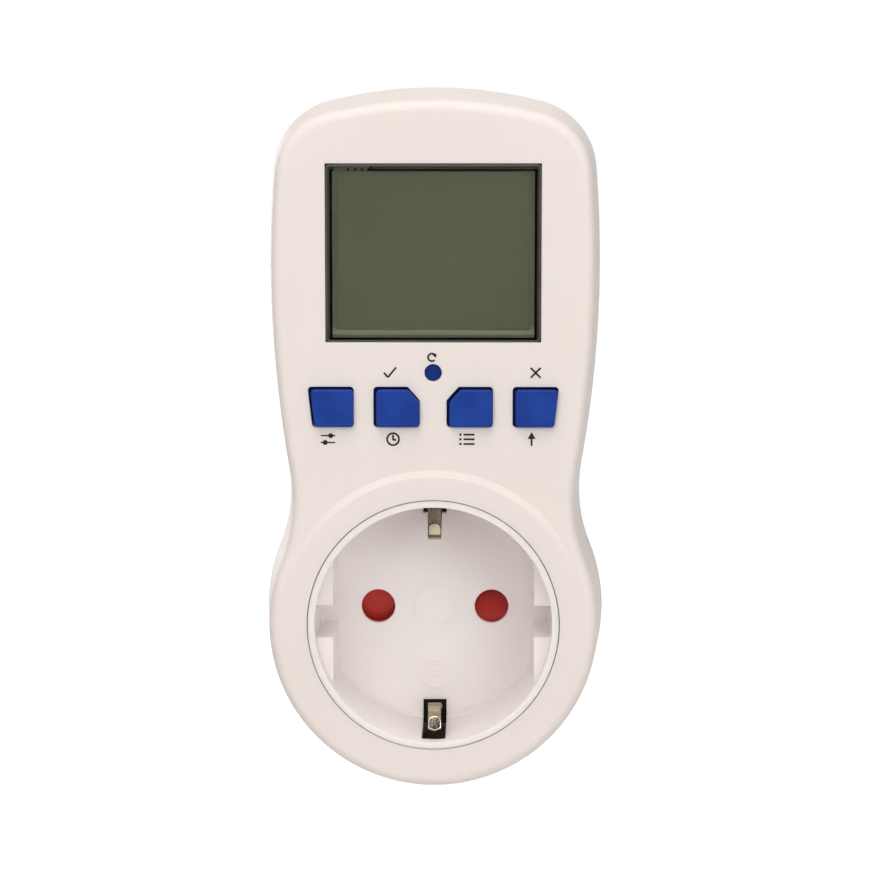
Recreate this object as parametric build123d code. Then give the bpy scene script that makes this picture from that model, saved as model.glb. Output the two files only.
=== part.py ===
from build123d import *

import os
from math import hypot

# Plug-in timer switch with a side-earthed socket in front and a matching plug behind.
# Millimetres. The origin is the centre of the plug's end face, the face that meets the wall
# socket's floor. +Y points into the wall, +Z up, and +X to the right as seen from the front.

# --- Plug and socket, by the common 16 A side-earth pattern ---
CUP_R = 20.2
CUP_SIDE = 1.05
RECESS_R = CUP_R - CUP_SIDE
BOSS_R = RECESS_R - 0.65
BOSS_FLAT = BOSS_R - 2.4
PIN_SPACING = 19.0
PIN_R = 2.4
PIN_LENGTH = 19.0
PIN_TIP = 1.2
PIN_COLLAR_R = 2.8
PIN_COLLAR_LENGTH = 9.0
PIN_TAIL_R = 2.0
PIN_TAIL_LENGTH = 4.0
EARTH_HOLE_HEIGHT = 10.0
EARTH_HOLE_R = 2.9
EARTH_SLEEVE_R = 2.45
EARTH_SLEEVE_WALL = 0.65
BOSS_LENGTH = 17.5
BOSS_RIB_WIDTH = 4.6
BOSS_WALL = 1.7
BOSS_FACE = 2.0
BOSS_EDGE = 0.8
BOSS_GAP = 0.1
BOSS_FLANGE = 1.5

# --- Socket cup ---
CUP_GAP = 0.15
RECESS_DEPTH = 17.5
RECESS_CORNER = 0.5
CUP_FLOOR = 1.2
CUP_FLANGE_R = CUP_R + 1.2
CUP_FLANGE = 1.5
CUP_HOLE_R = 2.84
GUIDE_X = RECESS_R - 2.85
GUIDE_DEPTH = 3.5
GUIDE_HEIGHT = 20.0
GUIDE_SLOT = 5.3
CLIP_SLOT = 3.9
CLIP_SLOT_R = RECESS_R - 3.25
CLIP_SLOT_DEPTH = 2.3
MARK_HEIGHT = 0.2
MARK_RING = 0.35
CENTRE_MARK_R = 3.5
EARTH_MARK_R = 2.53
EARTH_MARK_Z = -11.46
EARTH_BAR = 0.32
EARTH_BARS = ((-0.1, 1.45), (0.75, 1.3), (1.55, 0.85))
EARTH_STEM = 1.5

# --- Case ---
CASE_DEPTH = 37.0
FRONT_DEPTH = 19.0
WALL = 2.0
DISC_R = 28.1
WAIST_R = 25.0
SIDE_R = 190.0
SIDE_X = 27.35
SIDE_Z = 57.0
CORNER_R = 12.0
TOP_R = 71.0
TOP_Z = 86.3
FRONT_DRAFT = 1.7
FRONT_TOP_DRAFT = 1.0
FRONT_EDGE = 1.7
REAR_DRAFT = 1.2
REAR_EDGE = 2.0
PLATEAU_R = 25.1
PLATEAU_HEIGHT = 0.5
PLATEAU_EDGE = 0.45
PLATEAU_SLOPE = 1.1
PLATEAU_FADE_LOW = 3.0
PLATEAU_FADE_HIGH = 22.0
LIP = 1.0
LIP_GAP = 0.05
BARREL_WALL = 1.4
BARREL_WINDOW = 31.0

# --- Display ---
WINDOW_HALF = 17.16
WINDOW_LOW = 45.56
WINDOW_HIGH = 73.85
WINDOW_RIM = 1.2
WINDOW_GAP = 0.12
WINDOW_BEVEL = 0.3
WINDOW_LEDGE = 1.0
GASKET = 0.4
GASKET_HALF = 16.1
GASKET_LOW = 46.2
GASKET_HIGH = 72.7
GASKET_NOTCH = (-15.9, -10.1)
GASKET_NOTCH_HIGH = 73.4
LCD_THICKNESS = 2.8
LCD_MARGIN = 0.8
ZEBRA_WIDTH = 2.0

# --- Keys ---
KEY_LOW = 32.0
KEY_HEIGHT = 6.5
KEY_WIDTH = 7.4
KEY_CORNER = 0.6
INNER_KEY_X = 2.13
OUTER_KEY_X = 12.65
OUTER_KEY_SLANT = 0.75
KEY_CUT_X = 1.92
KEY_CUT_Z = 2.15
KEY_CLEARANCE = 0.27
KEY_SHIFT_X = 0.21
KEY_SHIFT_Z = -0.17
KEY_PROUD = 1.0
KEY_TOP_EDGE = 0.3
KEY_TRAVEL = 0.8
KEY_FLANGE = 0.7
KEY_FLANGE_GAP = 0.4
KEY_BASE = 1.4
PILL_R = 1.5
RESET_HOLE_R = 1.39
RESET_R = 1.28
RESET_Z = 40.75
RESET_SUNK = 0.4
RESET_FLANGE_R = 1.9
RESET_PILL_R = 0.8
WEB_THICKNESS = 0.4
MAT_THICKNESS = 1.0
MAT_HALF = 20.8
MAT_LOW = 30.0
MAT_HIGH = 43.4

# --- Boards and what they carry ---
BOARD_HALF = 20.4
BOARD_TOP = 79.4
BOARD_GAP = 0.3
DISPLAY_BOARD_LOW = 26.6
DISPLAY_BOARD = 1.2
DISPLAY_BOARD_DEPTH = 8.0
POWER_BOARD_LOW = 27.5
POWER_BOARD = 1.6
POWER_BOARD_GAP = 3.1
POST_R = 1.9
DISPLAY_POST_X = 18.4
DISPLAY_POST_Z = 29.0
DISPLAY_TOP_POST_X = 10.0
DISPLAY_TOP_POST_Z = 77.6
POWER_POST_X = 17.8
POWER_POST_Z = 43.0
POWER_TOP_POST_X = 11.0
POWER_TOP_POST_Z = 76.0
BOARD_SCREW_R = 0.9
BOARD_SCREW_HEAD_R = 1.7
BOARD_SCREW_HEAD = 1.2
BOARD_SCREW_LENGTH = 4.0
RELAY_PLAN = (19.0, 15.5)
RELAY_GAP = 0.4
RELAY_AT = (6.0, 57.0)
FILM_CAP_SIZE = (18.0, 14.5, 8.5)
FILM_CAP_AT = (2.0, 42.0)
CAN_R = 5.0
CAN_LENGTH = 16.0
CAN_AT = (-11.5, 61.0)
VARISTOR_R = 4.5
VARISTOR_THICKNESS = 4.0
VARISTOR_AT = (-13.5, 38.0)
RECTIFIER_SIZE = (8.5, 3.3, 6.4)
RECTIFIER_AT = (-11.0, 50.5)
RESISTOR_R = 1.75
RESISTOR_LENGTH = 9.0
RESISTOR_LEAD = 0.35
RESISTOR_AT = (-1.5, 31.5)
CELL_R = 5.8
CELL_HEIGHT = 5.4
CELL_AT = (12.5, 69.4)
CHIP_R = 5.0
CHIP_HEIGHT = 1.4
CHIP_AT = (5.0, 55.0)
CRYSTAL_R = 1.0
CRYSTAL_LENGTH = 6.0
CRYSTAL_AT = (-9.0, 50.0)
RIBBON_WIRES = 6
RIBBON_PITCH = 1.2
RIBBON_R = 0.65
RIBBON_AT = (-13.0, 71.8)

# --- Shutter and contacts ---
SHUTTER_THICKNESS = 1.6
SHUTTER_GAP = 0.2
SHUTTER_REACH = 13.2
SHUTTER_ARM = 7.0
SHUTTER_HUB_R = 4.2
SHUTTER_RAMP = 1.0
PIVOT_R = 2.0
PIVOT_GAP = 0.05
PEG_R = 1.2
PEG_Z = 11.0
PEG_GAP = 0.08
SPRING_WIRE_R = 0.25
SPRING_COIL_R = 2.9
SPRING_REACH = 9.6
COVER_R = RECESS_R - 4.55
COVER_THICKNESS = 1.2
COVER_HOLE_R = 3.0
CONTACT_LENGTH = 11.0
CONTACT_WIDTH = 5.0
CONTACT_HALF_GAP = 2.75
CONTACT_PINCH = 2.25
STRIP = 0.6
BAR = 0.7
BAR_WIDTH = 4.0
BAR_TOP = 34.0
BAR_LEVEL = 11.0
BAR_ROOM = 0.08
EARTH_STRIP_R = BOSS_R - 1.5
EARTH_STRIP_WIDTH = 3.4
EARTH_CLIP_WIDTH = 2.4
EARTH_HUMP_R = RECESS_R - 5.95
EARTH_HUMP_DEPTH = 4.2
EARTH_TIP_R = RECESS_R - 0.85
EARTH_TIP_DEPTH = 2.6
EARTH_SLOT_WIDTH = 5.2
EARTH_SLOT_FLOOR = BOSS_R - 1.9
EARTH_END = 3.5
BRIDGE_STRIP_Y = -15.4

# --- Case screws ---
SCREW_R = 1.2
SCREW_HOLE_R = 1.25
SCREW_CLEAR_R = 1.5
SCREW_LENGTH = 22.0
SCREW_HEAD_R = 2.1
SCREW_HEAD = 1.6
SCREW_SEAT = 6.0
COLUMN_R = 2.6
WELL_R = 2.3
LOW_SCREW_X = 17.0
LOW_SCREW_Z = -17.0
HIGH_SCREW_X = 19.3
HIGH_SCREW_Z = 77.4

# --- Planes across Y, worked out from the sizes above ---
REAR_Y = -BOSS_LENGTH
RING_Y = REAR_Y - CASE_DEPTH
FACE_Y = RING_Y + PLATEAU_HEIGHT
SEAM_Y = RING_Y + FRONT_DEPTH
INNER_FACE_Y = FACE_Y + WALL
INNER_REAR_Y = REAR_Y - WALL
FLOOR_Y = RING_Y + RECESS_DEPTH
CUP_BACK_Y = FLOOR_Y + CUP_FLOOR
PIN_X = PIN_SPACING / 2
DISPLAY_BOARD_Y = RING_Y + DISPLAY_BOARD_DEPTH
POWER_BOARD_Y = INNER_REAR_Y - POWER_BOARD_GAP
POWER_FRONT_Y = POWER_BOARD_Y - POWER_BOARD
RELAY_HEIGHT = POWER_FRONT_Y - DISPLAY_BOARD_Y - DISPLAY_BOARD - CELL_HEIGHT - RELAY_GAP
SHUTTER_Y = CUP_BACK_Y + SHUTTER_GAP
SHUTTER_BACK_Y = SHUTTER_Y + SHUTTER_THICKNESS
SHUTTER_COVER_Y = SHUTTER_BACK_Y + 4 * SPRING_WIRE_R
CONTACT_Y = SHUTTER_COVER_Y + COVER_THICKNESS
CONTACT_BACK_Y = CONTACT_Y + CONTACT_LENGTH
MAT_Y = DISPLAY_BOARD_Y - MAT_THICKNESS
KEY_FLANGE_Y = INNER_FACE_Y + KEY_FLANGE_GAP
KEY_BACK_Y = KEY_FLANGE_Y + KEY_BASE
PIN_TAIL_Y = -PIN_COLLAR_LENGTH - PIN_TAIL_LENGTH
SCREW_SEAT_Y = REAR_Y - SCREW_SEAT

SIDES = (-1, 1)
CASE_SCREWS = [(s * LOW_SCREW_X, LOW_SCREW_Z) for s in SIDES] + [
    (s * HIGH_SCREW_X, HIGH_SCREW_Z) for s in SIDES
]
DISPLAY_POSTS = [(s * DISPLAY_POST_X, DISPLAY_POST_Z) for s in SIDES] + [
    (s * DISPLAY_TOP_POST_X, DISPLAY_TOP_POST_Z) for s in SIDES
]
POWER_POSTS = [(s * POWER_POST_X, POWER_POST_Z) for s in SIDES] + [
    (s * POWER_TOP_POST_X, POWER_TOP_POST_Z) for s in SIDES
]


# --- Small tools: sketches are drawn in (x, z) and stand across Y ---
def across(y):
    """The plane across Y whose sketch axes are X and Z, facing the front."""
    return Plane(origin=(0, y, 0), x_dir=(1, 0, 0), z_dir=(0, -1, 0))


def prism(sketch, y0, y1):
    """A sketch drawn in (x, z), as a solid from plane y0 back to plane y1."""
    return extrude(across(y1) * sketch, amount=y1 - y0)


def rod(radius, y0, y1, x=0.0, z=0.0):
    """A round rod along Y."""
    return prism(Pos(x, z) * Circle(radius), y0, y1)


def block(x0, x1, y0, y1, z0, z1):
    """A plain block between six planes."""
    middle = Pos((x0 + x1) / 2, (y0 + y1) / 2, (z0 + z1) / 2)
    return middle * Box(x1 - x0, y1 - y0, z1 - z0)


def side_profile(points, x0, x1):
    """A closed outline drawn in (y, z), as a solid from plane x0 to plane x1."""
    plane = Plane(origin=(x0, 0, 0), x_dir=(0, 1, 0), z_dir=(1, 0, 0))
    return extrude(plane * make_face(Polyline(*points, close=True)), amount=x1 - x0)


def strip_along(points, thickness, x0, x1, bend=0.0):
    """A metal strip bent along a path drawn in (y, z), with its width along X."""
    plane = Plane(origin=(x0, 0, 0), x_dir=(0, 1, 0), z_dir=(1, 0, 0))
    path = FilletPolyline(*points, radius=bend) if bend else Polyline(*points)
    band = offset(path, amount=thickness / 2, side=Side.BOTH)
    return extrude(plane * make_face(band), amount=x1 - x0)


def circles_meet(c0, r0, c1, r1):
    """The crossing of two circles that lies furthest along +X."""
    dx, dz = c1[0] - c0[0], c1[1] - c0[1]
    d = hypot(dx, dz)
    along = (d * d + r0 * r0 - r1 * r1) / (2 * d)
    off = (r0 * r0 - along * along) ** 0.5
    found = [
        (c0[0] + (along * dx - s * off * dz) / d, c0[1] + (along * dz + s * off * dx) / d) for s in SIDES
    ]
    return max(found)


def on_circle(centre, radius, toward):
    """The point of a circle that faces another point."""
    dx, dz = toward[0] - centre[0], toward[1] - centre[1]
    d = hypot(dx, dz)
    return (centre[0] + radius * dx / d, centre[1] + radius * dz / d)


# --- Case outline: five kinds of arc, tangent to each other ---
def case_outline(inset, top_drop=0.0):
    """The case's outline, drawn in from the widest one by inset, and lowered at the top by top_drop."""
    disc, waist, side = DISC_R - inset, WAIST_R + inset, SIDE_R - inset
    corner, top = CORNER_R - inset, TOP_R - inset
    side_c = (SIDE_X - SIDE_R, SIDE_Z)
    top_c = (0.0, TOP_Z - TOP_R - top_drop)
    waist_c = circles_meet((0.0, 0.0), disc + waist, side_c, side + waist)
    corner_c = circles_meet(side_c, side - corner, top_c, top - corner)
    p_disc = on_circle((0.0, 0.0), disc, waist_c)
    p_waist = on_circle(side_c, side, waist_c)
    p_side = on_circle(side_c, side, corner_c)
    p_corner = on_circle(top_c, top, corner_c)
    m_waist = on_circle(waist_c, waist, ((p_disc[0] + p_waist[0]) / 2, (p_disc[1] + p_waist[1]) / 2))
    m_side = on_circle(side_c, side, (SIDE_X, (p_waist[1] + p_side[1]) / 2))
    m_corner = on_circle(corner_c, corner, ((p_side[0] + p_corner[0]) / 2, (p_side[1] + p_corner[1]) / 2))
    right = [(p_disc, m_waist, p_waist), (p_waist, m_side, p_side), (p_side, m_corner, p_corner)]
    edges = [ThreePointArc(*arc) for arc in right]
    edges.append(ThreePointArc(p_corner, (0.0, top_c[1] + top), (-p_corner[0], p_corner[1])))
    for arc in reversed(right):
        edges.append(ThreePointArc(*[(-x, z) for x, z in reversed(arc)]))
    edges.append(ThreePointArc((-p_disc[0], p_disc[1]), (0.0, -disc), p_disc))
    return make_face(edges)


def case_form(y0, inset0, drop0, y1, inset1, drop1):
    """The tapered form between two case outlines."""
    return loft([across(y0) * case_outline(inset0, drop0), across(y1) * case_outline(inset1, drop1)])


# --- Keys ---
def key_outline(kind, side, grow=0.0, shift=(0.0, 0.0)):
    """A key's outline in (x, z): an inner key has a cut corner, an outer key a slanted side."""
    low, high = KEY_LOW, KEY_LOW + KEY_HEIGHT
    if kind == "inner":
        near, far = INNER_KEY_X, INNER_KEY_X + KEY_WIDTH
        points = [(near, low), (far, low), (far, high), (near + KEY_CUT_X, high), (near, high - KEY_CUT_Z)]
    else:
        near, far = OUTER_KEY_X, OUTER_KEY_X + KEY_WIDTH
        points = [(near, low), (far - OUTER_KEY_SLANT, low), (far, high), (near, high)]
    face = make_face(Polyline(*[(side * x, z) for x, z in points], close=True))
    if grow:
        face = offset(face, amount=grow, kind=Kind.INTERSECTION)
    face = fillet(face.vertices(), KEY_CORNER)
    return Pos(*shift) * face


KEYS = (("set", "outer", -1), ("clock", "inner", -1), ("program", "inner", 1), ("up", "outer", 1))
KEY_SHIFT = (KEY_SHIFT_X, KEY_SHIFT_Z)


def key_centre(kind):
    """The distance of a key's centre from the middle line."""
    return (INNER_KEY_X if kind == "inner" else OUTER_KEY_X) + KEY_WIDTH / 2


def key(kind, side):
    """A rubber key: cap, flange that keeps it behind the face, and contact pill."""
    cap = prism(key_outline(kind, side, -KEY_CLEARANCE, KEY_SHIFT), FACE_Y - KEY_PROUD, KEY_FLANGE_Y)
    front = cap.faces().sort_by(Axis.Y)[0]
    cap = fillet(front.edges(), KEY_TOP_EDGE)
    base = prism(key_outline(kind, side, KEY_FLANGE, KEY_SHIFT), KEY_FLANGE_Y, KEY_BACK_Y)
    x, z = side * key_centre(kind), KEY_LOW + KEY_HEIGHT / 2
    return cap + base + rod(PILL_R, KEY_BACK_Y, DISPLAY_BOARD_Y - KEY_TRAVEL, x, z)


def reset_key():
    """The small recessed key, reached with a pen tip."""
    body = rod(RESET_R, FACE_Y + RESET_SUNK, KEY_FLANGE_Y, 0, RESET_Z)
    body += rod(RESET_FLANGE_R, KEY_FLANGE_Y, KEY_BACK_Y, 0, RESET_Z)
    return body + rod(RESET_PILL_R, KEY_BACK_Y, DISPLAY_BOARD_Y - KEY_TRAVEL, 0, RESET_Z)


def key_web(x, z, top_r, foot_r):
    """The thin rubber dome between a key and the mat, which folds when the key is pressed."""
    t = WEB_THICKNESS
    profile = [(top_r - t, KEY_BACK_Y), (top_r, KEY_BACK_Y), (foot_r, MAT_Y), (foot_r - t, MAT_Y)]
    half = make_face(Polyline(*profile, close=True))
    return Pos(x, 0, z) * revolve(half, Axis.Y)


def keypad_mat():
    """The rubber sheet that joins the keys, with an eye under each one."""
    sheet = Pos(0, (MAT_LOW + MAT_HIGH) / 2) * RectangleRounded(2 * MAT_HALF, MAT_HIGH - MAT_LOW, 1.0)
    for _, kind, side in KEYS:
        sheet -= Pos(side * key_centre(kind), KEY_LOW + KEY_HEIGHT / 2) * Circle(PILL_R + KEY_CLEARANCE)
    sheet -= Pos(0, RESET_Z) * Circle(RESET_PILL_R + KEY_CLEARANCE)
    for x, z in DISPLAY_POSTS:
        sheet -= Pos(x, z) * Circle(POST_R + 2 * KEY_CLEARANCE)
    return prism(sheet, MAT_Y, DISPLAY_BOARD_Y)


# --- Case halves ---
def window_sketch(grow):
    """The display window's outline, grown on every side."""
    middle = Pos(0, (WINDOW_LOW + WINDOW_HIGH) / 2)
    return middle * Rectangle(2 * (WINDOW_HALF + grow), WINDOW_HIGH - WINDOW_LOW + 2 * grow)


def front_form():
    """The front half's outside: tapered sides, rounded front edge, and a raised disc round the socket."""
    form = case_form(RING_Y, FRONT_DRAFT, FRONT_TOP_DRAFT, SEAM_Y, 0.0, 0.0)
    fade = Spline(
        (RING_Y, PLATEAU_FADE_LOW), (FACE_Y, PLATEAU_FADE_HIGH), tangents=[(0, 1), (0, 1)]
    )
    reach, air = 2 * TOP_Z, 2 * WALL
    outer = Polyline(
        (FACE_Y, PLATEAU_FADE_HIGH),
        (FACE_Y, reach),
        (RING_Y - air, reach),
        (RING_Y - air, PLATEAU_FADE_LOW),
        (RING_Y, PLATEAU_FADE_LOW),
    )
    plane = Plane(origin=(-reach / 2, 0, 0), x_dir=(0, 1, 0), z_dir=(1, 0, 0))
    form -= extrude(plane * make_face(fade.edges() + outer.edges()), amount=reach)
    rim = [
        e
        for e in form.edges()
        if e.bounding_box().max.Y < FACE_Y + WALL / 4 and e.bounding_box().size.Z > 0.01
    ]
    form = fillet(rim, FRONT_EDGE)
    plateau = rod(PLATEAU_R, RING_Y, INNER_FACE_Y)
    front = plateau.faces().sort_by(Axis.Y)[0]
    plateau = chamfer(front.edges(), length=PLATEAU_EDGE, length2=PLATEAU_SLOPE)
    return form + plateau


def front_cover():
    """The front half of the case, with its bore for the socket cup, window, key openings and posts."""
    hollow = case_form(INNER_FACE_Y, FRONT_DRAFT + WALL, FRONT_TOP_DRAFT, SEAM_Y, WALL, 0.0)
    cover = front_form() - hollow
    cover -= case_form(SEAM_Y - LIP, LIP, 0.0, SEAM_Y, LIP, 0.0)
    inside = case_form(INNER_FACE_Y - LIP, FRONT_DRAFT + LIP, FRONT_TOP_DRAFT, SEAM_Y, LIP + LIP_GAP, 0.0)
    columns = Sketch() + [Pos(x, z) * Circle(COLUMN_R) for x, z in CASE_SCREWS]
    cover += prism(columns, INNER_FACE_Y, SEAM_Y - LIP) & inside
    posts = Sketch() + [Pos(x, z) * Circle(POST_R) for x, z in DISPLAY_POSTS]
    cover += prism(posts, INNER_FACE_Y, DISPLAY_BOARD_Y) & inside
    cover -= rod(CUP_R + CUP_GAP, RING_Y - WALL, SEAM_Y)
    holes = Sketch() + [Pos(x, z) * Circle(SCREW_HOLE_R) for x, z in CASE_SCREWS]
    cover -= prism(holes, INNER_FACE_Y, SEAM_Y)
    pilots = Sketch() + [Pos(x, z) * Circle(BOARD_SCREW_R + LIP_GAP) for x, z in DISPLAY_POSTS]
    cover -= prism(pilots, INNER_FACE_Y + LIP, DISPLAY_BOARD_Y)
    cover -= prism(window_sketch(0.0), RING_Y - WALL, INNER_FACE_Y)
    cover -= prism(window_sketch(WINDOW_LEDGE), FACE_Y + WINDOW_RIM, INNER_FACE_Y)
    for _, kind, side in KEYS:
        cover -= prism(key_outline(kind, side), RING_Y - WALL, INNER_FACE_Y)
    cover -= rod(RESET_HOLE_R, RING_Y - WALL, INNER_FACE_Y, 0, RESET_Z)
    return cover


def boss_sketch(inset):
    """The plug's cross-section: a circle with flat sides and a rib on each flat."""
    span = 2 * (BOSS_FLAT - inset)
    flats = Circle(BOSS_R - inset) & Rectangle(span, 2 * BOSS_R)
    ribs = Circle(BOSS_R - inset) & Rectangle(2 * BOSS_R, BOSS_RIB_WIDTH)
    return flats + ribs if inset == 0 else flats


def plug_body():
    """The plug's body: boss with rounded end, flange behind the rear wall, and barrel up to the socket cup."""
    boss = prism(boss_sketch(0), INNER_REAR_Y, 0)
    boss = chamfer(boss.faces().sort_by(Axis.Y)[-1].edges(), BOSS_EDGE)
    flange_y = INNER_REAR_Y - BOSS_FLANGE
    body = boss + rod(BOSS_R, INNER_REAR_Y, REAR_Y) + rod(CUP_R, CUP_BACK_Y + LIP_GAP, INNER_REAR_Y)
    body -= rod(CUP_R - BARREL_WALL, CUP_BACK_Y, flange_y)
    body -= block(-BARREL_WINDOW / 2, BARREL_WINDOW / 2, CUP_BACK_Y, flange_y, 0, CUP_R)
    body -= prism(boss_sketch(BOSS_WALL), flange_y - LIP, -BOSS_FACE)
    for side in SIDES:
        body -= rod(PIN_COLLAR_R + LIP_GAP, -BOSS_FACE - LIP, LIP, side * PIN_X, 0)
        half = EARTH_SLOT_WIDTH / 2
        slot = block(-half, half, flange_y - LIP, -EARTH_END + LIP, EARTH_SLOT_FLOOR, CUP_R)
        gap_y = (BRIDGE_STRIP_Y - 2 * BAR, BRIDGE_STRIP_Y + BAR)
        slot += block(-LIP - BAR, LIP + BAR, *gap_y, BOSS_R / 2, BOSS_R)
        body -= slot if side > 0 else slot.mirror(Plane.XY)
    bar_x, bar_z = SPINE_X + BAR + BAR_ROOM, BAR_WIDTH / 2
    body -= block(PIN_X, bar_x, flange_y - LIP, PIN_TAIL_Y + BAR_ROOM, -bar_z, bar_z)
    room = PIN_TAIL_R + BAR_ROOM
    top = BAR_LEVEL + BAR / 2 + BAR_ROOM
    body -= block(-PIN_X - room, -PIN_X + room, flange_y - LIP, PIN_TAIL_Y + BAR_ROOM, 0, top)
    return body - rod(EARTH_HOLE_R, -BOSS_FACE - LIP, LIP, 0, EARTH_HOLE_HEIGHT)


def rear_cover():
    """The rear half of the case, with the plug's hole, screw wells and columns, and board posts."""
    form = case_form(SEAM_Y, 0.0, 0.0, REAR_Y, REAR_DRAFT, 0.0)
    form = fillet(form.faces().sort_by(Axis.Y)[-1].edges(), REAR_EDGE)
    cover = form - case_form(SEAM_Y, WALL, 0.0, INNER_REAR_Y, REAR_DRAFT + WALL, 0.0)
    tongue = case_form(SEAM_Y - LIP + LIP_GAP, LIP + LIP_GAP, 0.0, SEAM_Y + LIP, LIP + LIP_GAP, 0.0)
    cover += tongue - case_form(SEAM_Y - LIP, WALL, 0.0, SEAM_Y + LIP, WALL, 0.0)
    inside = case_form(SEAM_Y, LIP + LIP_GAP, 0.0, REAR_Y, REAR_DRAFT + LIP, 0.0)
    columns = Sketch() + [Pos(x, z) * Circle(COLUMN_R) for x, z in CASE_SCREWS]
    columns = prism(columns, SEAM_Y - LIP + LIP_GAP, SCREW_SEAT_Y) & case_form(
        SEAM_Y - LIP, LIP + LIP_GAP, 0.0, SCREW_SEAT_Y, LIP + LIP_GAP, 0.0
    )
    wells = Sketch() + [Pos(x, z) * Circle(WELL_R + LIP) for x, z in CASE_SCREWS]
    cover += columns + (prism(wells, SCREW_SEAT_Y - LIP, INNER_REAR_Y) & inside)
    cover -= rod(CUP_R + CUP_GAP, SEAM_Y - LIP, INNER_REAR_Y)
    cover -= rod(BOSS_R + BOSS_GAP, INNER_REAR_Y, REAR_Y)
    for x, z in CASE_SCREWS:
        cover -= rod(WELL_R, SCREW_SEAT_Y, REAR_Y + LIP, x, z)
        cover -= rod(SCREW_CLEAR_R, SEAM_Y - WALL, SCREW_SEAT_Y, x, z)
    for x, z in POWER_POSTS:
        cover += rod(POST_R, POWER_BOARD_Y, INNER_REAR_Y, x, z)
        cover -= rod(BOARD_SCREW_R + LIP_GAP, POWER_BOARD_Y, INNER_REAR_Y, x, z)
    return cover


# --- Socket cup ---
def guide_sketch():
    """The two flat-faced guides at the recess's sides, each split by a slot."""
    band = Rectangle(2 * CUP_R, GUIDE_HEIGHT) - Rectangle(2 * GUIDE_X, GUIDE_HEIGHT)
    band -= Rectangle(2 * CUP_R, GUIDE_SLOT)
    return band & Circle(CUP_R - CUP_GAP)


def mark_sketch():
    """The raised marks on the recess's floor: an empty ring, and the earth sign in its ring."""
    marks = Circle(CENTRE_MARK_R) - Circle(CENTRE_MARK_R - MARK_RING)
    sign = Circle(EARTH_MARK_R) - Circle(EARTH_MARK_R - MARK_RING)
    for z, half in EARTH_BARS:
        sign += Pos(0, z) * Rectangle(2 * half, EARTH_BAR)
    sign += Pos(0, -EARTH_STEM / 2) * Rectangle(EARTH_BAR, EARTH_STEM)
    return marks + Pos(0, EARTH_MARK_Z) * sign


def socket_insert():
    """The socket cup: recess, floor with two pin holes, guides, earth slots and raised marks."""
    cup = rod(CUP_R, RING_Y, CUP_BACK_Y)
    cup += rod(CUP_FLANGE_R, INNER_FACE_Y, INNER_FACE_Y + CUP_FLANGE)
    hollow = rod(RECESS_R, RING_Y - WALL, FLOOR_Y)
    cup -= chamfer(hollow.faces().sort_by(Axis.Y)[-1].edges(), RECESS_CORNER)
    cup += prism(guide_sketch(), RING_Y + GUIDE_DEPTH, FLOOR_Y + CUP_FLOOR / 2)
    for side in SIDES:
        z0, z1 = sorted((side * CLIP_SLOT_R, side * CUP_FLANGE_R))
        cup -= block(-CLIP_SLOT / 2, CLIP_SLOT / 2, RING_Y + CLIP_SLOT_DEPTH, CUP_BACK_Y, z0, z1)
        bore = rod(CUP_HOLE_R, FLOOR_Y - LIP, CUP_BACK_Y, side * PIN_X, 0)
        cup -= bore
    cup += prism(mark_sketch(), FLOOR_Y - MARK_HEIGHT, FLOOR_Y + MARK_HEIGHT)
    cup += rod(PIVOT_R - PIVOT_GAP, CUP_BACK_Y - LIP, SHUTTER_COVER_Y + COVER_THICKNESS)
    for side in SIDES:
        cup += rod(PEG_R, CUP_BACK_Y - LIP, SHUTTER_COVER_Y + COVER_THICKNESS, 0, side * PEG_Z)
    return cup


def shutter():
    """The rotating child-safety shutter: two ramped blades on a hub, one behind each pin hole."""
    blades = Circle(SHUTTER_REACH) & Rectangle(2 * SHUTTER_REACH, SHUTTER_ARM)
    plate = prism(blades + Circle(SHUTTER_HUB_R), SHUTTER_Y, SHUTTER_BACK_Y)
    half = SHUTTER_ARM / 2
    ramp = side_profile(
        [(SHUTTER_Y - LIP, -half / 3), (SHUTTER_Y, -half / 3), (SHUTTER_Y + SHUTTER_RAMP, half),
         (SHUTTER_Y + SHUTTER_RAMP, half + LIP), (SHUTTER_Y - LIP, half + LIP)],
        SHUTTER_HUB_R + LIP, SHUTTER_REACH + LIP,
    )
    plate -= ramp
    plate -= Rot(0, 180, 0) * ramp
    return plate - rod(PIVOT_R, SHUTTER_Y - LIP, SHUTTER_BACK_Y + LIP)


def shutter_cover():
    """The plate that keeps the shutter on its pivot."""
    plate = Circle(COVER_R) - Circle(PIVOT_R)
    for side in SIDES:
        plate -= Pos(side * PIN_X, 0) * Circle(COVER_HOLE_R)
        plate -= Pos(0, side * PEG_Z) * Circle(PEG_R + PEG_GAP)
    return prism(plate, SHUTTER_COVER_Y, CONTACT_Y)


def shutter_spring():
    """The spring that turns the shutter back: three quarters of a turn round the pivot, with two legs."""
    w = SPRING_WIRE_R
    turn = Circle(SPRING_COIL_R + w) - Circle(SPRING_COIL_R - w)
    turn -= Pos(SPRING_REACH / 2, SPRING_REACH / 2) * Rectangle(SPRING_REACH, SPRING_REACH)
    peg_leg = Pos(-w, (SPRING_COIL_R + SPRING_REACH) / 2) * Rectangle(2 * w, SPRING_REACH - SPRING_COIL_R)
    arm_leg = Pos((SPRING_COIL_R + SPRING_REACH) / 2, -w) * Rectangle(SPRING_REACH - SPRING_COIL_R, 2 * w)
    return prism(turn + peg_leg + arm_leg, SHUTTER_BACK_Y + w, SHUTTER_BACK_Y + 3 * w)


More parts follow.
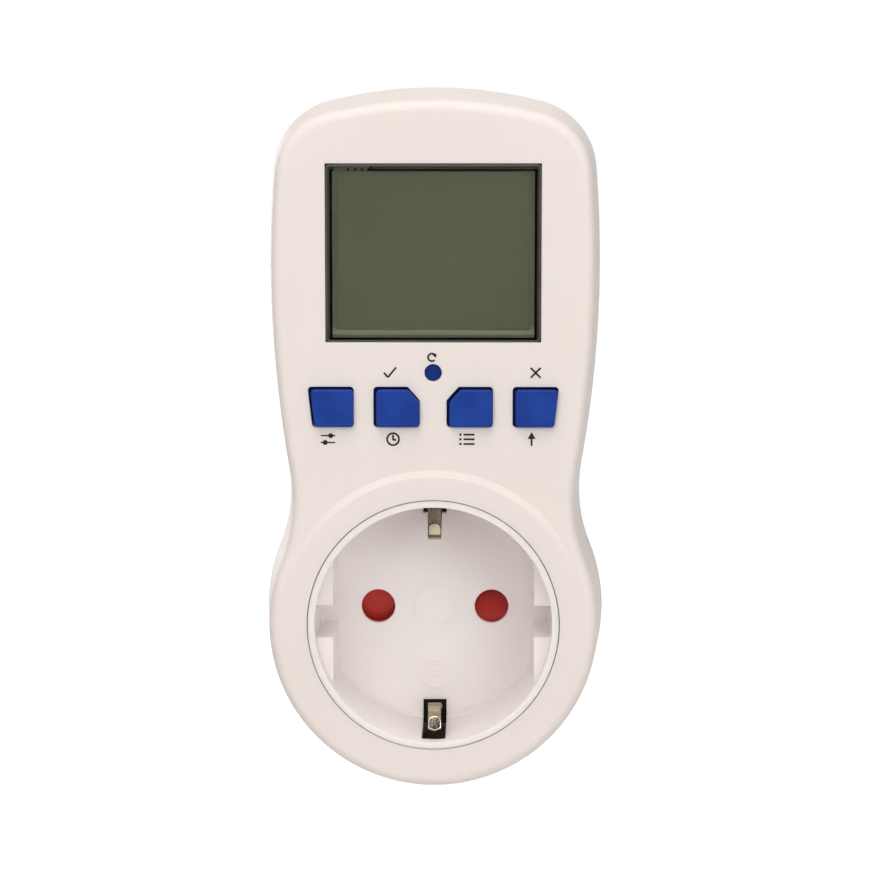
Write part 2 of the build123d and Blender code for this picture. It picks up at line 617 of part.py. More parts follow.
# --- Metal ---
def pin():
    """A plug pin on the middle line: rounded tip, collar in the plug's face, and tail."""
    shank = rod(PIN_R, 0, PIN_LENGTH)
    shank = chamfer(shank.faces().sort_by(Axis.Y)[-1].edges(), length=PIN_TIP, length2=PIN_TIP / 2)
    return shank + rod(PIN_COLLAR_R, -PIN_COLLAR_LENGTH, 0) + rod(PIN_TAIL_R, PIN_TAIL_Y, -PIN_COLLAR_LENGTH)


def contact():
    """The spring contact behind a pin hole, drawn for the right one: two leaves on an outer spine."""
    g, n = CONTACT_HALF_GAP, CONTACT_PINCH
    y0, y1 = CONTACT_Y + LIP / 2, CONTACT_BACK_Y
    inner = [(y0, g), (y0 + 2, n), (y0 + 4, g), (y1, g)]
    outer = [(y, z + STRIP) for y, z in reversed(inner)]
    leaf = side_profile(inner + outer, PIN_X - CONTACT_WIDTH / 2, PIN_X + CONTACT_WIDTH / 2 + LIP)
    spine_x = PIN_X + CONTACT_WIDTH / 2 + LIP
    spine = block(spine_x, spine_x + STRIP, y0 + 4, y1, -g - STRIP, g + STRIP)
    return leaf + leaf.mirror(Plane.XY) + spine


SPINE_X = PIN_X + CONTACT_WIDTH / 2 + LIP + STRIP


def riser():
    """The bar from a contact's spine up to the power board, drawn for the right side."""
    low_y = POWER_BOARD_Y - BAR_WIDTH
    return block(SPINE_X, SPINE_X + BAR, low_y, POWER_BOARD_Y, -BAR_WIDTH / 2, BAR_TOP)


def neutral_bar():
    """The bar that joins the neutral pin, the neutral contact and the board."""
    half = BAR_WIDTH / 2
    plate = block(PIN_X - PIN_TAIL_R, SPINE_X + BAR, PIN_TAIL_Y - BAR, PIN_TAIL_Y, -half, half)
    link = block(SPINE_X, SPINE_X + BAR, POWER_BOARD_Y - BAR, PIN_TAIL_Y, -half, half)
    return riser() + plate + link


def line_bar_in():
    """The bar from the line pin up to the power board."""
    y0, y1 = PIN_TAIL_Y - BAR / 2, POWER_BOARD_Y + BAR / 2
    path = [(y0, -PIN_TAIL_R), (y0, BAR_LEVEL), (y1, BAR_LEVEL), (y1, BAR_TOP)]
    return strip_along(path, BAR, -PIN_X - PIN_TAIL_R, -PIN_X + PIN_TAIL_R)


def earth_strip():
    """The upper earth strip: clip in the recess, run through the case, and side contact of the plug."""
    tip_y, hump_y = RING_Y + EARTH_TIP_DEPTH, RING_Y + EARTH_HUMP_DEPTH
    r, t = EARTH_STRIP_R + STRIP / 2, STRIP
    clip = [(tip_y, EARTH_TIP_R), (hump_y, EARTH_HUMP_R), (FLOOR_Y, r), (CUP_BACK_Y + LIP, r)]
    run = [(CUP_BACK_Y + LIP, r), (REAR_Y + LIP, r), ((REAR_Y - EARTH_END) / 2, r + t), (-EARTH_END, r - t / 3)]
    narrow = strip_along(clip, t, -EARTH_CLIP_WIDTH / 2, EARTH_CLIP_WIDTH / 2, bend=2 * LIP)
    return narrow + strip_along(run, t, -EARTH_STRIP_WIDTH / 2, EARTH_STRIP_WIDTH / 2)


def earth_bridge():
    """The strip that joins both earth strips and the earth sleeve."""
    reach = EARTH_STRIP_R
    return block(-LIP, LIP, BRIDGE_STRIP_Y - BAR, BRIDGE_STRIP_Y, -reach, reach)


def earth_sleeve():
    """The sleeve behind the plug's earth hole."""
    sleeve = rod(EARTH_SLEEVE_R + EARTH_SLEEVE_WALL, BRIDGE_STRIP_Y, -BOSS_FACE, 0, EARTH_HOLE_HEIGHT)
    return sleeve - rod(EARTH_SLEEVE_R, BRIDGE_STRIP_Y, -BOSS_FACE, 0, EARTH_HOLE_HEIGHT)


def pin_retainer():
    """The plate that holds both pins by their collars inside the plug's body."""
    plate = boss_sketch(BOSS_WALL + LIP_GAP)
    plate -= Pos(0, EARTH_HOLE_HEIGHT) * Circle(EARTH_SLEEVE_R + EARTH_SLEEVE_WALL + LIP_GAP)
    for side in SIDES:
        plate -= Pos(side * PIN_X, 0) * Circle(PIN_TAIL_R + LIP_GAP)
    return prism(plate, -PIN_COLLAR_LENGTH - 2 * BAR, -PIN_COLLAR_LENGTH)


# --- Display stack ---
def display_window():
    """The clear window: a bevelled pane with a ledge that seats behind the face."""
    pane = prism(window_sketch(-WINDOW_GAP), FACE_Y + LIP_GAP, INNER_FACE_Y)
    pane = chamfer(pane.faces().sort_by(Axis.Y)[0].edges(), WINDOW_BEVEL)
    return pane + prism(window_sketch(WINDOW_LEDGE - WINDOW_GAP), FACE_Y + WINDOW_RIM + LIP_GAP, INNER_FACE_Y)


def display_gasket():
    """The black frame between window and display, notched where the display's marks show."""
    hole = Pos(0, (GASKET_LOW + GASKET_HIGH) / 2) * Rectangle(2 * GASKET_HALF, GASKET_HIGH - GASKET_LOW)
    x0, x1 = GASKET_NOTCH
    notch_height = GASKET_NOTCH_HIGH - GASKET_LOW
    hole += Pos((x0 + x1) / 2, GASKET_LOW + notch_height / 2) * Rectangle(x1 - x0, notch_height)
    return prism(window_sketch(WINDOW_LEDGE) - hole, INNER_FACE_Y, INNER_FACE_Y + GASKET)


LCD_Y = INNER_FACE_Y + GASKET
LCD_BACK_Y = LCD_Y + LCD_THICKNESS


def lcd_panel():
    """The liquid-crystal display: two glass plates, the rear one longer at the contact edge."""
    front = window_sketch(LCD_MARGIN)
    rear = front + Pos(0, WINDOW_LOW - LCD_MARGIN) * Rectangle(2 * (WINDOW_HALF + LCD_MARGIN), ZEBRA_WIDTH)
    return prism(front, LCD_Y, LCD_Y + LCD_THICKNESS / 2) + prism(rear, LCD_Y + LCD_THICKNESS / 2, LCD_BACK_Y)


def zebra_strip():
    """The two rubber contact strips between display and board."""
    top, low = WINDOW_HIGH + LCD_MARGIN, WINDOW_LOW - LCD_MARGIN
    half = WINDOW_HALF
    return [
        block(-half, half, LCD_BACK_Y, DISPLAY_BOARD_Y, z, z + ZEBRA_WIDTH) for z in (low, top - ZEBRA_WIDTH)
    ]


def board_sketch(low):
    """A circuit board's outline: a rectangle with round notches for the case's screw columns."""
    board = Pos(0, (low + BOARD_TOP) / 2) * RectangleRounded(2 * BOARD_HALF, BOARD_TOP - low, 1.0)
    for x, z in CASE_SCREWS:
        board -= Pos(x, z) * Circle(WELL_R + LIP + BOARD_GAP)
    return board & case_outline(FRONT_DRAFT + WALL + BOARD_GAP, FRONT_TOP_DRAFT)


def display_board():
    """The board behind display and keys."""
    board = board_sketch(DISPLAY_BOARD_LOW)
    for x, z in DISPLAY_POSTS:
        board -= Pos(x, z) * Circle(BOARD_SCREW_R + LIP_GAP)
    return prism(board, DISPLAY_BOARD_Y, DISPLAY_BOARD_Y + DISPLAY_BOARD)


def power_board():
    """The board with the relay and the supply."""
    board = board_sketch(POWER_BOARD_LOW)
    for x, z in POWER_POSTS:
        board -= Pos(x, z) * Circle(BOARD_SCREW_R + LIP_GAP)
    for side in SIDES:
        board -= Pos(side * (SPINE_X + BAR / 2), 0) * Rectangle(BAR + 2 * LIP_GAP, 2 * BAR_TOP + 2 * LIP_GAP)
    return prism(board, POWER_FRONT_Y, POWER_BOARD_Y)


def on_power_board(size, x, z):
    """A box-shaped part that stands on the power board: size is (x, height, z)."""
    width, height, depth = size
    body = prism(Pos(x, z) * Rectangle(width, depth), POWER_FRONT_Y - height, POWER_FRONT_Y)
    return fillet(body.edges().filter_by(Axis.Y), LIP / 2)


def round_on_power_board():
    """The smoothing capacitor: a can with a rounded top, standing on the power board."""
    can = rod(CAN_R, POWER_FRONT_Y - CAN_LENGTH, POWER_FRONT_Y, *CAN_AT)
    return chamfer(can.faces().sort_by(Axis.Y)[0].edges(), LIP / 2)


def varistor():
    """The disc-shaped varistor, standing on its edge on the power board."""
    x, z = VARISTOR_AT
    disc = Pos(x, POWER_FRONT_Y - VARISTOR_R, z) * Rot(0, 90, 0) * Cylinder(VARISTOR_R, VARISTOR_THICKNESS)
    return chamfer(disc.edges().filter_by(GeomType.CIRCLE), LIP)


def fuse_resistor():
    """The fusible resistor, lying along X on two bent leads."""
    x, z = RESISTOR_AT
    y = POWER_FRONT_Y - 2 * RESISTOR_R
    span = RESISTOR_LENGTH / 2 + RESISTOR_R
    body = Pos(x, y, z) * Rot(0, 90, 0) * Cylinder(RESISTOR_R, RESISTOR_LENGTH)
    lead = RESISTOR_LEAD
    body += block(x - span - lead, x + span + lead, y - lead, y + lead, z - lead, z + lead)
    for side in SIDES:
        foot = x + side * span
        body += block(foot - lead, foot + lead, y, POWER_FRONT_Y, z - lead, z + lead)
    return body


def on_display_board(radius, height, x, z):
    """A round part on the rear of the display board."""
    back = DISPLAY_BOARD_Y + DISPLAY_BOARD
    part = rod(radius, back, back + height, x, z)
    return chamfer(part.faces().sort_by(Axis.Y)[-1].edges(), LIP / 2)


def clock_crystal():
    """The clock's crystal, a small can lying on the display board."""
    x, z = CRYSTAL_AT
    y = DISPLAY_BOARD_Y + DISPLAY_BOARD + CRYSTAL_R
    return Pos(x, y, z) * Cylinder(CRYSTAL_R, CRYSTAL_LENGTH)


def ribbon():
    """The flat cable between the boards."""
    x, z = RIBBON_AT
    wires = Sketch() + [Pos(x + i * RIBBON_PITCH, z) * Circle(RIBBON_R) for i in range(RIBBON_WIRES)]
    return prism(wires, DISPLAY_BOARD_Y + DISPLAY_BOARD, POWER_FRONT_Y)


# --- Screws ---
def screw(at, seat_y, way, radius, length, head_r, head):
    """A screw along Y: its head stands on the seat, its shank runs from it along way (1 or -1)."""
    x, z = at
    end, top = seat_y + way * length, seat_y - way * head
    shank = rod(radius, min(seat_y, end), max(seat_y, end), x, z)
    return shank + rod(head_r, min(seat_y, top), max(seat_y, top), x, z)


def case_screws():
    """The four screws that hold the case halves together."""
    return [
        screw(at, SCREW_SEAT_Y, -1, SCREW_R, SCREW_LENGTH, SCREW_HEAD_R, SCREW_HEAD) for at in CASE_SCREWS
    ]


def board_screws(posts, seat_y, way):
    """The small screws that hold a board to its posts."""
    return [
        screw(at, seat_y, way, BOARD_SCREW_R, BOARD_SCREW_LENGTH, BOARD_SCREW_HEAD_R, BOARD_SCREW_HEAD)
        for at in posts
    ]


def build_parts():
    """Every piece by its node's name."""
    strip = earth_strip()
    parts = {
        "front_cover": front_cover(),
        "rear_cover": rear_cover(),
        "plug_body": plug_body(),
        "socket_insert": socket_insert(),
        "shutter": shutter(),
        "shutter_cover": shutter_cover(),
        "shutter_spring": shutter_spring(),
        "display_window": display_window(),
        "display_gasket": display_gasket(),
        "lcd_panel": lcd_panel(),
        "zebra_strips": zebra_strip(),
        "display_board": display_board(),
        "keypad_mat": keypad_mat(),
        "key_reset": reset_key(),
        "web_reset": key_web(0, RESET_Z, RESET_FLANGE_R, RESET_FLANGE_R + WEB_THICKNESS),
        "line_pin": Pos(-PIN_X, 0, 0) * pin(),
        "neutral_pin": Pos(PIN_X, 0, 0) * pin(),
        "line_contact": contact().mirror(Plane.YZ),
        "neutral_contact": contact(),
        "line_bar_in": line_bar_in(),
        "line_bar_out": riser().mirror(Plane.YZ),
        "neutral_bar": neutral_bar(),
        "earth_strip_top": strip,
        "earth_strip_bottom": strip.mirror(Plane.XY),
        "earth_bridge": earth_bridge(),
        "earth_sleeve": earth_sleeve(),
        "pin_retainer": pin_retainer(),
        "power_board": power_board(),
        "relay": on_power_board((RELAY_PLAN[0], RELAY_HEIGHT, RELAY_PLAN[1]), *RELAY_AT),
        "dropper_capacitor": on_power_board(FILM_CAP_SIZE, *FILM_CAP_AT),
        "rectifier": on_power_board(RECTIFIER_SIZE, *RECTIFIER_AT),
        "smoothing_capacitor": round_on_power_board(),
        "varistor": varistor(),
        "fuse_resistor": fuse_resistor(),
        "backup_battery": on_display_board(CELL_R, CELL_HEIGHT, *CELL_AT),
        "controller_chip": on_display_board(CHIP_R, CHIP_HEIGHT, *CHIP_AT),
        "clock_crystal": clock_crystal(),
        "board_link": ribbon(),
        "case_screws": case_screws(),
        "display_board_screws": board_screws(DISPLAY_POSTS, DISPLAY_BOARD_Y + DISPLAY_BOARD, -1),
        "power_board_screws": board_screws(POWER_POSTS, POWER_FRONT_Y, 1),
    }
    for name, kind, side in KEYS:
        parts["key_" + name] = key(kind, side)
        x, z = side * key_centre(kind), KEY_LOW + KEY_HEIGHT / 2
        parts["web_" + name] = key_web(x, z, PILL_R + 1.0, PILL_R + 2.0)
    return parts


os.makedirs("parts", exist_ok=True)
for node, shape in build_parts().items():
    solids = shape if isinstance(shape, list) else [shape]
    export_step(Compound(solids) if len(solids) > 1 else solids[0], "parts/" + node + ".step")
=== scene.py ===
from math import atan2, cos, pi, radians, sin

import bmesh
import bpy
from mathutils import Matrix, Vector


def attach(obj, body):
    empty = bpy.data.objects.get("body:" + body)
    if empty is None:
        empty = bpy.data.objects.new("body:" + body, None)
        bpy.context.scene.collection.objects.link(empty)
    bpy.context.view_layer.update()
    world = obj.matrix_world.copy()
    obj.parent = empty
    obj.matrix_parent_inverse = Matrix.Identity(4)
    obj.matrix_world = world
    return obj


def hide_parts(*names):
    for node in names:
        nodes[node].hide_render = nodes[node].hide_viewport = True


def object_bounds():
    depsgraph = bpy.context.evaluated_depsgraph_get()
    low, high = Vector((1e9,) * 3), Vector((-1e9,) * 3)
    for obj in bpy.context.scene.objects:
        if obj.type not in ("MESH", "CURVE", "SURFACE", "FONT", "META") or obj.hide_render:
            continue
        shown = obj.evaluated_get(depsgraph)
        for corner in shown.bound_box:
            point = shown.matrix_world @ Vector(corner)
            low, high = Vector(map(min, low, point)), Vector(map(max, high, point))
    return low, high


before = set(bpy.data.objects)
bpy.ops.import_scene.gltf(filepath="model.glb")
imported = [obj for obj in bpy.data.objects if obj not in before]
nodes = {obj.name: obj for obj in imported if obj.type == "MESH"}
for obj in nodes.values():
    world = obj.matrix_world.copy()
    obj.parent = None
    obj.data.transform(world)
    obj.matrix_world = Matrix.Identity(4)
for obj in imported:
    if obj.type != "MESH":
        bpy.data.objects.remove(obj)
cad_box = [list(corner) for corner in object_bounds()]
bpy.ops.object.select_all(action="DESELECT")


# --- Studio: a white paper sweep, on which the timer stands on the round end of its case. ---
# Soft boxes above, at the upper left, at the right and behind light it. A black card behind the
# camera keeps the display's flat pane dark, as a studio flag does.
MM = 0.001
FLOOR_SIZE = 8
FLOOR_GAP = 0.2 * MM
FLOOR_Z = cad_box[0][2] - FLOOR_GAP
CARD_SIZE = 0.5
CARD_PLACE = (0, -0.75, 0.03)
FRONT_MIDDLE = (0, -0.04, 0.03)
BACK_MIDDLE = (0, -0.02, 0.03)


def linear(hex_colour):
    """An sRGB hex colour as linear light with full opacity."""
    parts = [int(hex_colour[i : i + 2], 16) / 255 for i in (1, 3, 5)]
    return [*(p / 12.92 if p <= 0.04045 else ((p + 0.055) / 1.055) ** 2.4 for p in parts), 1.0]


def add_node(tree, kind, values=None, links=None, **fields):
    """Adds a shader node: its sockets' values, the sockets that feed it, and its own settings."""
    node = tree.nodes.new("ShaderNode" + kind)
    for name, value in fields.items():
        setattr(node, name, value)
    for name, value in (values or {}).items():
        node.inputs[name].default_value = value
    for name, source in (links or {}).items():
        tree.links.new(source, node.inputs[name])
    return node


def new_material(name):
    """A named material with an empty node tree."""
    material = bpy.data.materials.new(name)
    material.use_nodes = True
    material.node_tree.nodes.clear()
    return material, material.node_tree


def background(tree, light, look):
    """Shines as one shader, and looks like another: straight, in a reflection and through glass."""
    path = add_node(tree, "LightPath")
    rays = {0: path.outputs["Is Camera Ray"], 1: path.outputs["Is Glossy Ray"]}
    direct = add_node(tree, "Math", links=rays, operation="MAXIMUM")
    rays = {0: direct.outputs[0], 1: path.outputs["Is Transmission Ray"]}
    seen = add_node(tree, "Math", links=rays, operation="MAXIMUM")
    mixed = {0: seen.outputs[0], 1: light.outputs[0], 2: look.outputs[0]}
    return add_node(tree, "MixShader", links=mixed).outputs[0]


# Matt white paper that looks evenly white, however much light falls on it, and keeps its shadow.
paper, tree = new_material("white_paper_sweep")
sheet = add_node(tree, "BsdfDiffuse", {"Color": linear("#DEDEDE")})
glow = add_node(tree, "Emission", {"Color": linear("#FFFFFF"), "Strength": 0.93})
lit = add_node(tree, "AddShader", links={0: sheet.outputs[0], 1: glow.outputs[0]})
add_node(tree, "OutputMaterial", links={"Surface": background(tree, sheet, lit)})

bpy.ops.mesh.primitive_plane_add(size=FLOOR_SIZE, location=(0, 0, FLOOR_Z))
floor = bpy.context.object
floor.name = "floor"
floor.data.materials.append(paper)

# The room gives a dim fill light, and is white where it is looked at.
world = bpy.data.worlds.new("studio")
bpy.context.scene.world = world
world.use_nodes = True
tree = world.node_tree
tree.nodes.clear()
room = add_node(tree, "Background", {"Color": linear("#FFFDFB"), "Strength": 0.19})
white = add_node(tree, "Background", {"Color": linear("#FFFFFF"), "Strength": 1.0})
add_node(tree, "OutputWorld", links={"Surface": background(tree, room, white)})


def soft_box(name, place, aim, size, watts, colour):
    """A square soft box that faces the point it aims at; its place and size are in metres."""
    bpy.ops.object.light_add(type="AREA", location=place)
    lamp = bpy.context.object
    lamp.name = name
    lamp.data.size = size
    lamp.data.energy = watts
    lamp.data.color = linear(colour)[:3]
    away = lamp.location - Vector(aim)
    lamp.rotation_euler = away.to_track_quat("Z", "Y").to_euler()


soft_box("soft_box_above", (-0.08, -0.27, 0.65), FRONT_MIDDLE, 0.45, 2.45, "#FFFAF2")
soft_box("soft_box_left", (-0.28, -1.0, 0.48), FRONT_MIDDLE, 0.8, 3.3, "#FFFCFB")
soft_box("soft_box_right", (0.54, -0.93, 0.3), FRONT_MIDDLE, 0.5, 3.0, "#FFFFFF")
soft_box("soft_box_behind", (-0.6, 0.8, 0.1), BACK_MIDDLE, 0.5, 2.3, "#FFFFFF")

# Black felt over card: dull and near black, it shows only as a dark reflection.
black_card, tree = new_material("black_felt_card")
felt = add_node(tree, "BsdfDiffuse", {"Color": linear("#050505")})
add_node(tree, "OutputMaterial", links={"Surface": felt.outputs[0]})
bpy.ops.mesh.primitive_plane_add(size=CARD_SIZE, location=CARD_PLACE, rotation=(pi / 2, 0, 0))
card = bpy.context.object
card.name = "black_card"
card.data.materials.append(black_card)
card.visible_camera = False
card.visible_diffuse = False
card.visible_shadow = False

# The camera looks at the front from 380 mm away, 6.3 degrees down and 1 degree to the left.
CAMERA_PLACE = (6.77 * MM, -434.49 * MM, 72.85 * MM)
CAMERA_TILT = radians(90 - 6.308)
CAMERA_TURN = radians(0.975)
LENS = 99.31
SENSOR_WIDTH = 36
bpy.ops.object.camera_add(location=CAMERA_PLACE, rotation=(CAMERA_TILT, 0, CAMERA_TURN))
camera = bpy.context.object
camera.name = "camera"
camera.data.lens = LENS
camera.data.sensor_width = SENSOR_WIDTH
bpy.context.scene.camera = camera
bpy.context.scene.view_settings.view_transform = "Standard"


# --- Case halves: injection-moulded ABS, white with a hint of cream, from an eroded mould. ---
# The front half carries the window, the keys and the raised disc round the socket. The rear half
# is screwed to it from behind.
GRAIN_DEPTH = 0.02 * MM
MOST_OF_NOISE = {"From Min": 0.35, "From Max": 0.65}
CLOUDY_DEPTH = 2.0 * MM
CLOUDY_COLOURS = (1.0, 0.9, 0.85)


def finish_with(material, *names):
    """Gives CAD nodes their material."""
    for name in names:
        nodes[name].material_slots[0].material = material


def moulded_plastic(
    name, colour, tint, grain_mm, relief, roughness, specular=0.5, cloudy=0.0, flow_mm=24
):
    """A moulded plastic: its colour drifts with the flow of the melt, and the mould's grain shows.

    The real grain is under 0.1 mm and too fine to show, so grain_mm is coarser.
    """
    material, tree = new_material(name)
    place = add_node(tree, "TexCoord").outputs["Object"]
    flow = add_node(
        tree,
        "TexNoise",
        {"Scale": 1 / (flow_mm * MM), "Detail": 2.0, "Roughness": 0.45},
        {"Vector": place},
    )
    drift = add_node(tree, "MapRange", MOST_OF_NOISE, {"Value": flow.outputs["Fac"]})
    shade = add_node(
        tree,
        "MixRGB",
        {"Color1": linear(colour), "Color2": linear(tint)},
        {"Fac": drift.outputs[0]},
    )
    grain = add_node(
        tree,
        "TexNoise",
        {"Scale": 1 / (grain_mm * MM), "Detail": 3.0, "Roughness": 0.6},
        {"Vector": place},
    )
    dull = add_node(
        tree,
        "MapRange",
        {"From Min": 0.3, "From Max": 0.7, "To Min": roughness - 0.05, "To Max": roughness + 0.05},
        {"Value": grain.outputs["Fac"]},
    )
    bump = add_node(
        tree,
        "Bump",
        {"Strength": relief, "Distance": GRAIN_DEPTH},
        {"Height": grain.outputs["Fac"]},
    )
    plastic = add_node(
        tree,
        "BsdfPrincipled",
        {
            "Specular IOR Level": specular,
            "IOR": 1.5,
            "Subsurface Weight": cloudy,
            "Subsurface Radius": CLOUDY_COLOURS,
            "Subsurface Scale": CLOUDY_DEPTH,
        },
        {"Base Color": shade.outputs[0], "Roughness": dull.outputs[0], "Normal": bump.outputs[0]},
    )
    add_node(tree, "OutputMaterial", links={"Surface": plastic.outputs[0]})
    return material


# The eroded mould leaves a satin skin that breaks up highlights, and light sinks in a little.
case_abs = moulded_plastic(
    "satin_white_abs",
    "#EEE5E2",
    "#EDE5E0",
    grain_mm=0.25,
    relief=0.25,
    roughness=0.5,
    specular=0.34,
    cloudy=0.3,
)
finish_with(case_abs, "front_cover", "rear_cover")


# --- Plug body, socket cup and inner plates: white glass-filled polyamide, which takes heat. ---
# The cup is pushed into the front half from behind, up to its flange, and the plug's body is held
# between the halves.

# The moulds are polished, so it is a little smoother than the case, whiter and more milky.
cup_nylon = moulded_plastic(
    "satin_white_polyamide",
    "#FCF3F1",
    "#FAF1ED",
    grain_mm=0.2,
    relief=0.2,
    roughness=0.38,
    specular=0.5,
    cloudy=0.6,
)
finish_with(cup_nylon, "socket_insert", "plug_body", "pin_retainer", "shutter_cover")


# --- Shutter: red acetal, moulded in one piece. It turns on a pivot behind the two pin holes. ---
# Only the parts of its blades behind the holes show, in the shade of the floor.

# Acetal from a polished mould has a soft gloss and an even, deep colour.
shutter_acetal = moulded_plastic(
    "glossy_red_acetal",
    "#AE2620",
    "#A3211C",
    grain_mm=0.3,
    relief=0.1,
    roughness=0.3,
    specular=0.25,
    cloudy=0.2,
)
finish_with(shutter_acetal, "shutter")


# --- Window: clear acrylic pane with a satin rim, dropped into the opening from inside. ---
# Its flange rests on a ledge behind the opening. Its corners are rounded, and a dark grey border
# lies on its back, just outside the foam frame's opening and flush with that frame's notch.
WINDOW_HALF = 17.04
WINDOW_Z = (45.68, 73.73)
WINDOW_FRONT_Y, FLANGE_Y, WINDOW_BACK_Y = -53.95, -52.75, -52.02
WINDOW_FLANGE = 1.0
WINDOW_CORNER = 0.7
WINDOW_RIM = 0.27
WINDOW_RISE = 0.2
WINDOW_STEP_Y = WINDOW_FRONT_Y + WINDOW_RISE
BORDER_GAP = 0.02
BORDER_Y = (WINDOW_BACK_Y + 0.004, WINDOW_BACK_Y + 0.016)
BORDER_OPENING = ((-16.45, 45.85), (16.45, 72.92))
BORDER_NOTCH = ((-15.9, 72.9), (-9.9, 73.4))
CUT_OVERRUN = 0.1
SMOOTH_UNDER = radians(35)
FLAT_FROM = 20 * MM * MM


def settle():
    """Puts the selected piece's place, turn and size into its mesh."""
    bpy.ops.object.transform_apply(location=True, rotation=True, scale=True)


def block(name, low, high):
    """A box between two corners in millimetres, in edit mode with all of it selected."""
    bpy.ops.object.select_all(action="DESELECT")
    centre = [(a + b) / 2 * MM for a, b in zip(low, high)]
    bpy.ops.mesh.primitive_cube_add(size=1, location=centre)
    piece = bpy.context.object
    piece.name = piece.data.name = name
    piece.scale = [(b - a) * MM for a, b in zip(low, high)]
    settle()
    bpy.ops.object.mode_set(mode="EDIT")
    return piece


def pick(kind, test):
    """Selects only the vertices, edges or faces of the piece in edit mode that pass a test."""
    mode = {"verts": "VERT", "edges": "EDGE", "faces": "FACE"}[kind]
    bpy.ops.mesh.select_mode(type=mode)
    bpy.ops.mesh.select_all(action="DESELECT")
    data = bpy.context.object.data
    mesh = bmesh.from_edit_mesh(data)
    for part in getattr(mesh, kind):
        if test(part):
            part.select_set(True)
    mesh.select_flush_mode()
    bmesh.update_edit_mesh(data)


def middle(part):
    """The middle of an edge or face, in millimetres."""
    return sum((v.co for v in part.verts), Vector()) / len(part.verts) / MM


def near(value, place):
    """True where a length is within 0.02 mm of another."""
    return abs(value - place) < 0.02


def faces_front(face):
    """True for a face that looks to the front."""
    return face.normal.y < -0.9


def extrude(y=0.0, z=0.0):
    """Extrudes what is selected by a move in millimetres."""
    bpy.ops.mesh.extrude_region_move(TRANSFORM_OT_translate={"value": (0, y * MM, z * MM)})


def smooth(piece):
    """Leaves edit mode and shades the piece smooth, apart from its sharp edges."""
    bpy.ops.object.mode_set(mode="OBJECT")
    bpy.ops.object.select_all(action="DESELECT")
    piece.select_set(True)
    bpy.context.view_layer.objects.active = piece
    bpy.ops.object.shade_smooth_by_angle(angle=SMOOTH_UNDER)


def keep_flat(piece):
    """Shades the large faces flat, so that their reflections stay straight."""
    bpy.ops.object.mode_set(mode="EDIT")
    pick("faces", lambda f: f.calc_area() > FLAT_FROM)
    bpy.ops.mesh.faces_shade_flat()
    bpy.ops.object.mode_set(mode="OBJECT")


def dress(piece, material, body, slot, *replaced):
    """Gives a piece its material and its body, and hides the CAD nodes that it stands for. Its slot
    is not used.
    """
    piece.data.materials.append(material)
    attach(piece, body)
    if replaced:
        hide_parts(*replaced)
    bpy.ops.object.select_all(action="DESELECT")


low = (-WINDOW_HALF - WINDOW_FLANGE, FLANGE_Y, WINDOW_Z[0] - WINDOW_FLANGE)
high = (WINDOW_HALF + WINDOW_FLANGE, WINDOW_BACK_Y, WINDOW_Z[1] + WINDOW_FLANGE)
pane = block("window_pane", low, high)
pick("faces", faces_front)
bpy.ops.mesh.inset(thickness=WINDOW_FLANGE * MM)
extrude(y=WINDOW_STEP_Y - FLANGE_Y)
pick("edges", lambda e: near(middle(e).y, (WINDOW_STEP_Y + FLANGE_Y) / 2))
bpy.ops.mesh.bevel(offset=WINDOW_CORNER * MM, segments=6, affect="EDGES")
pick("faces", lambda f: near(middle(f).y, WINDOW_STEP_Y))
bpy.ops.mesh.inset(thickness=WINDOW_RIM * MM, depth=WINDOW_RISE * MM)
smooth(pane)
keep_flat(pane)

# Moulded acrylic: clear and polished, so it only shows its reflections.
acrylic, tree = new_material("polished_clear_acrylic")
place = add_node(tree, "TexCoord").outputs["Object"]
haze = add_node(tree, "TexNoise", {"Scale": 1 / (6 * MM), "Detail": 2.0}, {"Vector": place})
gloss = add_node(tree, "MapRange", {"To Min": 0.0, "To Max": 0.03}, {"Value": haze.outputs["Fac"]})
clear = add_node(
    tree,
    "BsdfPrincipled",
    {"Base Color": linear("#F2F5EF"), "Transmission Weight": 1.0, "IOR": 1.49},
    {"Roughness": gloss.outputs[0]},
)
add_node(tree, "OutputMaterial", links={"Surface": clear.outputs[0]})
dress(pane, acrylic, "case", "window_clear", "display_window")

# The rim is left satin by the mould. Its grey is a painted reflection: it stands in for what the
# bevelled clear edge reflects, and for the thin light line that it catches.
satin_rim_painted_reflection = moulded_plastic(
    "satin_acrylic_rim_painted_reflection",
    "#5A544F",
    "#4E4945",
    grain_mm=0.3,
    relief=0.2,
    roughness=0.35,
    flow_mm=4,
)
pane.data.materials.append(satin_rim_painted_reflection)
for face in pane.data.polygons:
    if face.center.y < WINDOW_STEP_Y * MM and face.area < FLAT_FROM:
        face.material_index = 1


def cut_away(piece, cutter):
    """Takes a cutter, still in edit mode, out of a piece."""
    bpy.ops.object.mode_set(mode="OBJECT")
    bpy.ops.object.select_all(action="DESELECT")
    bpy.context.view_layer.objects.active = piece
    cut = piece.modifiers.new("cut", "BOOLEAN")
    cut.object = cutter
    cut.operation = "DIFFERENCE"
    bpy.ops.object.modifier_apply(modifier=cut.name)
    bpy.data.objects.remove(cutter)


low = (BORDER_GAP - WINDOW_HALF, BORDER_Y[0], WINDOW_Z[0] + BORDER_GAP)
high = (WINDOW_HALF - BORDER_GAP, BORDER_Y[1], WINDOW_Z[1] - BORDER_GAP)
border = block("window_border", low, high)
bpy.ops.object.mode_set(mode="OBJECT")
for (x0, z0), (x1, z1) in (BORDER_OPENING, BORDER_NOTCH):
    low = (x0, WINDOW_BACK_Y - CUT_OVERRUN, z0)
    high = (x1, WINDOW_BACK_Y + CUT_OVERRUN, z1)
    cut_away(border, block("border_hole", low, high))
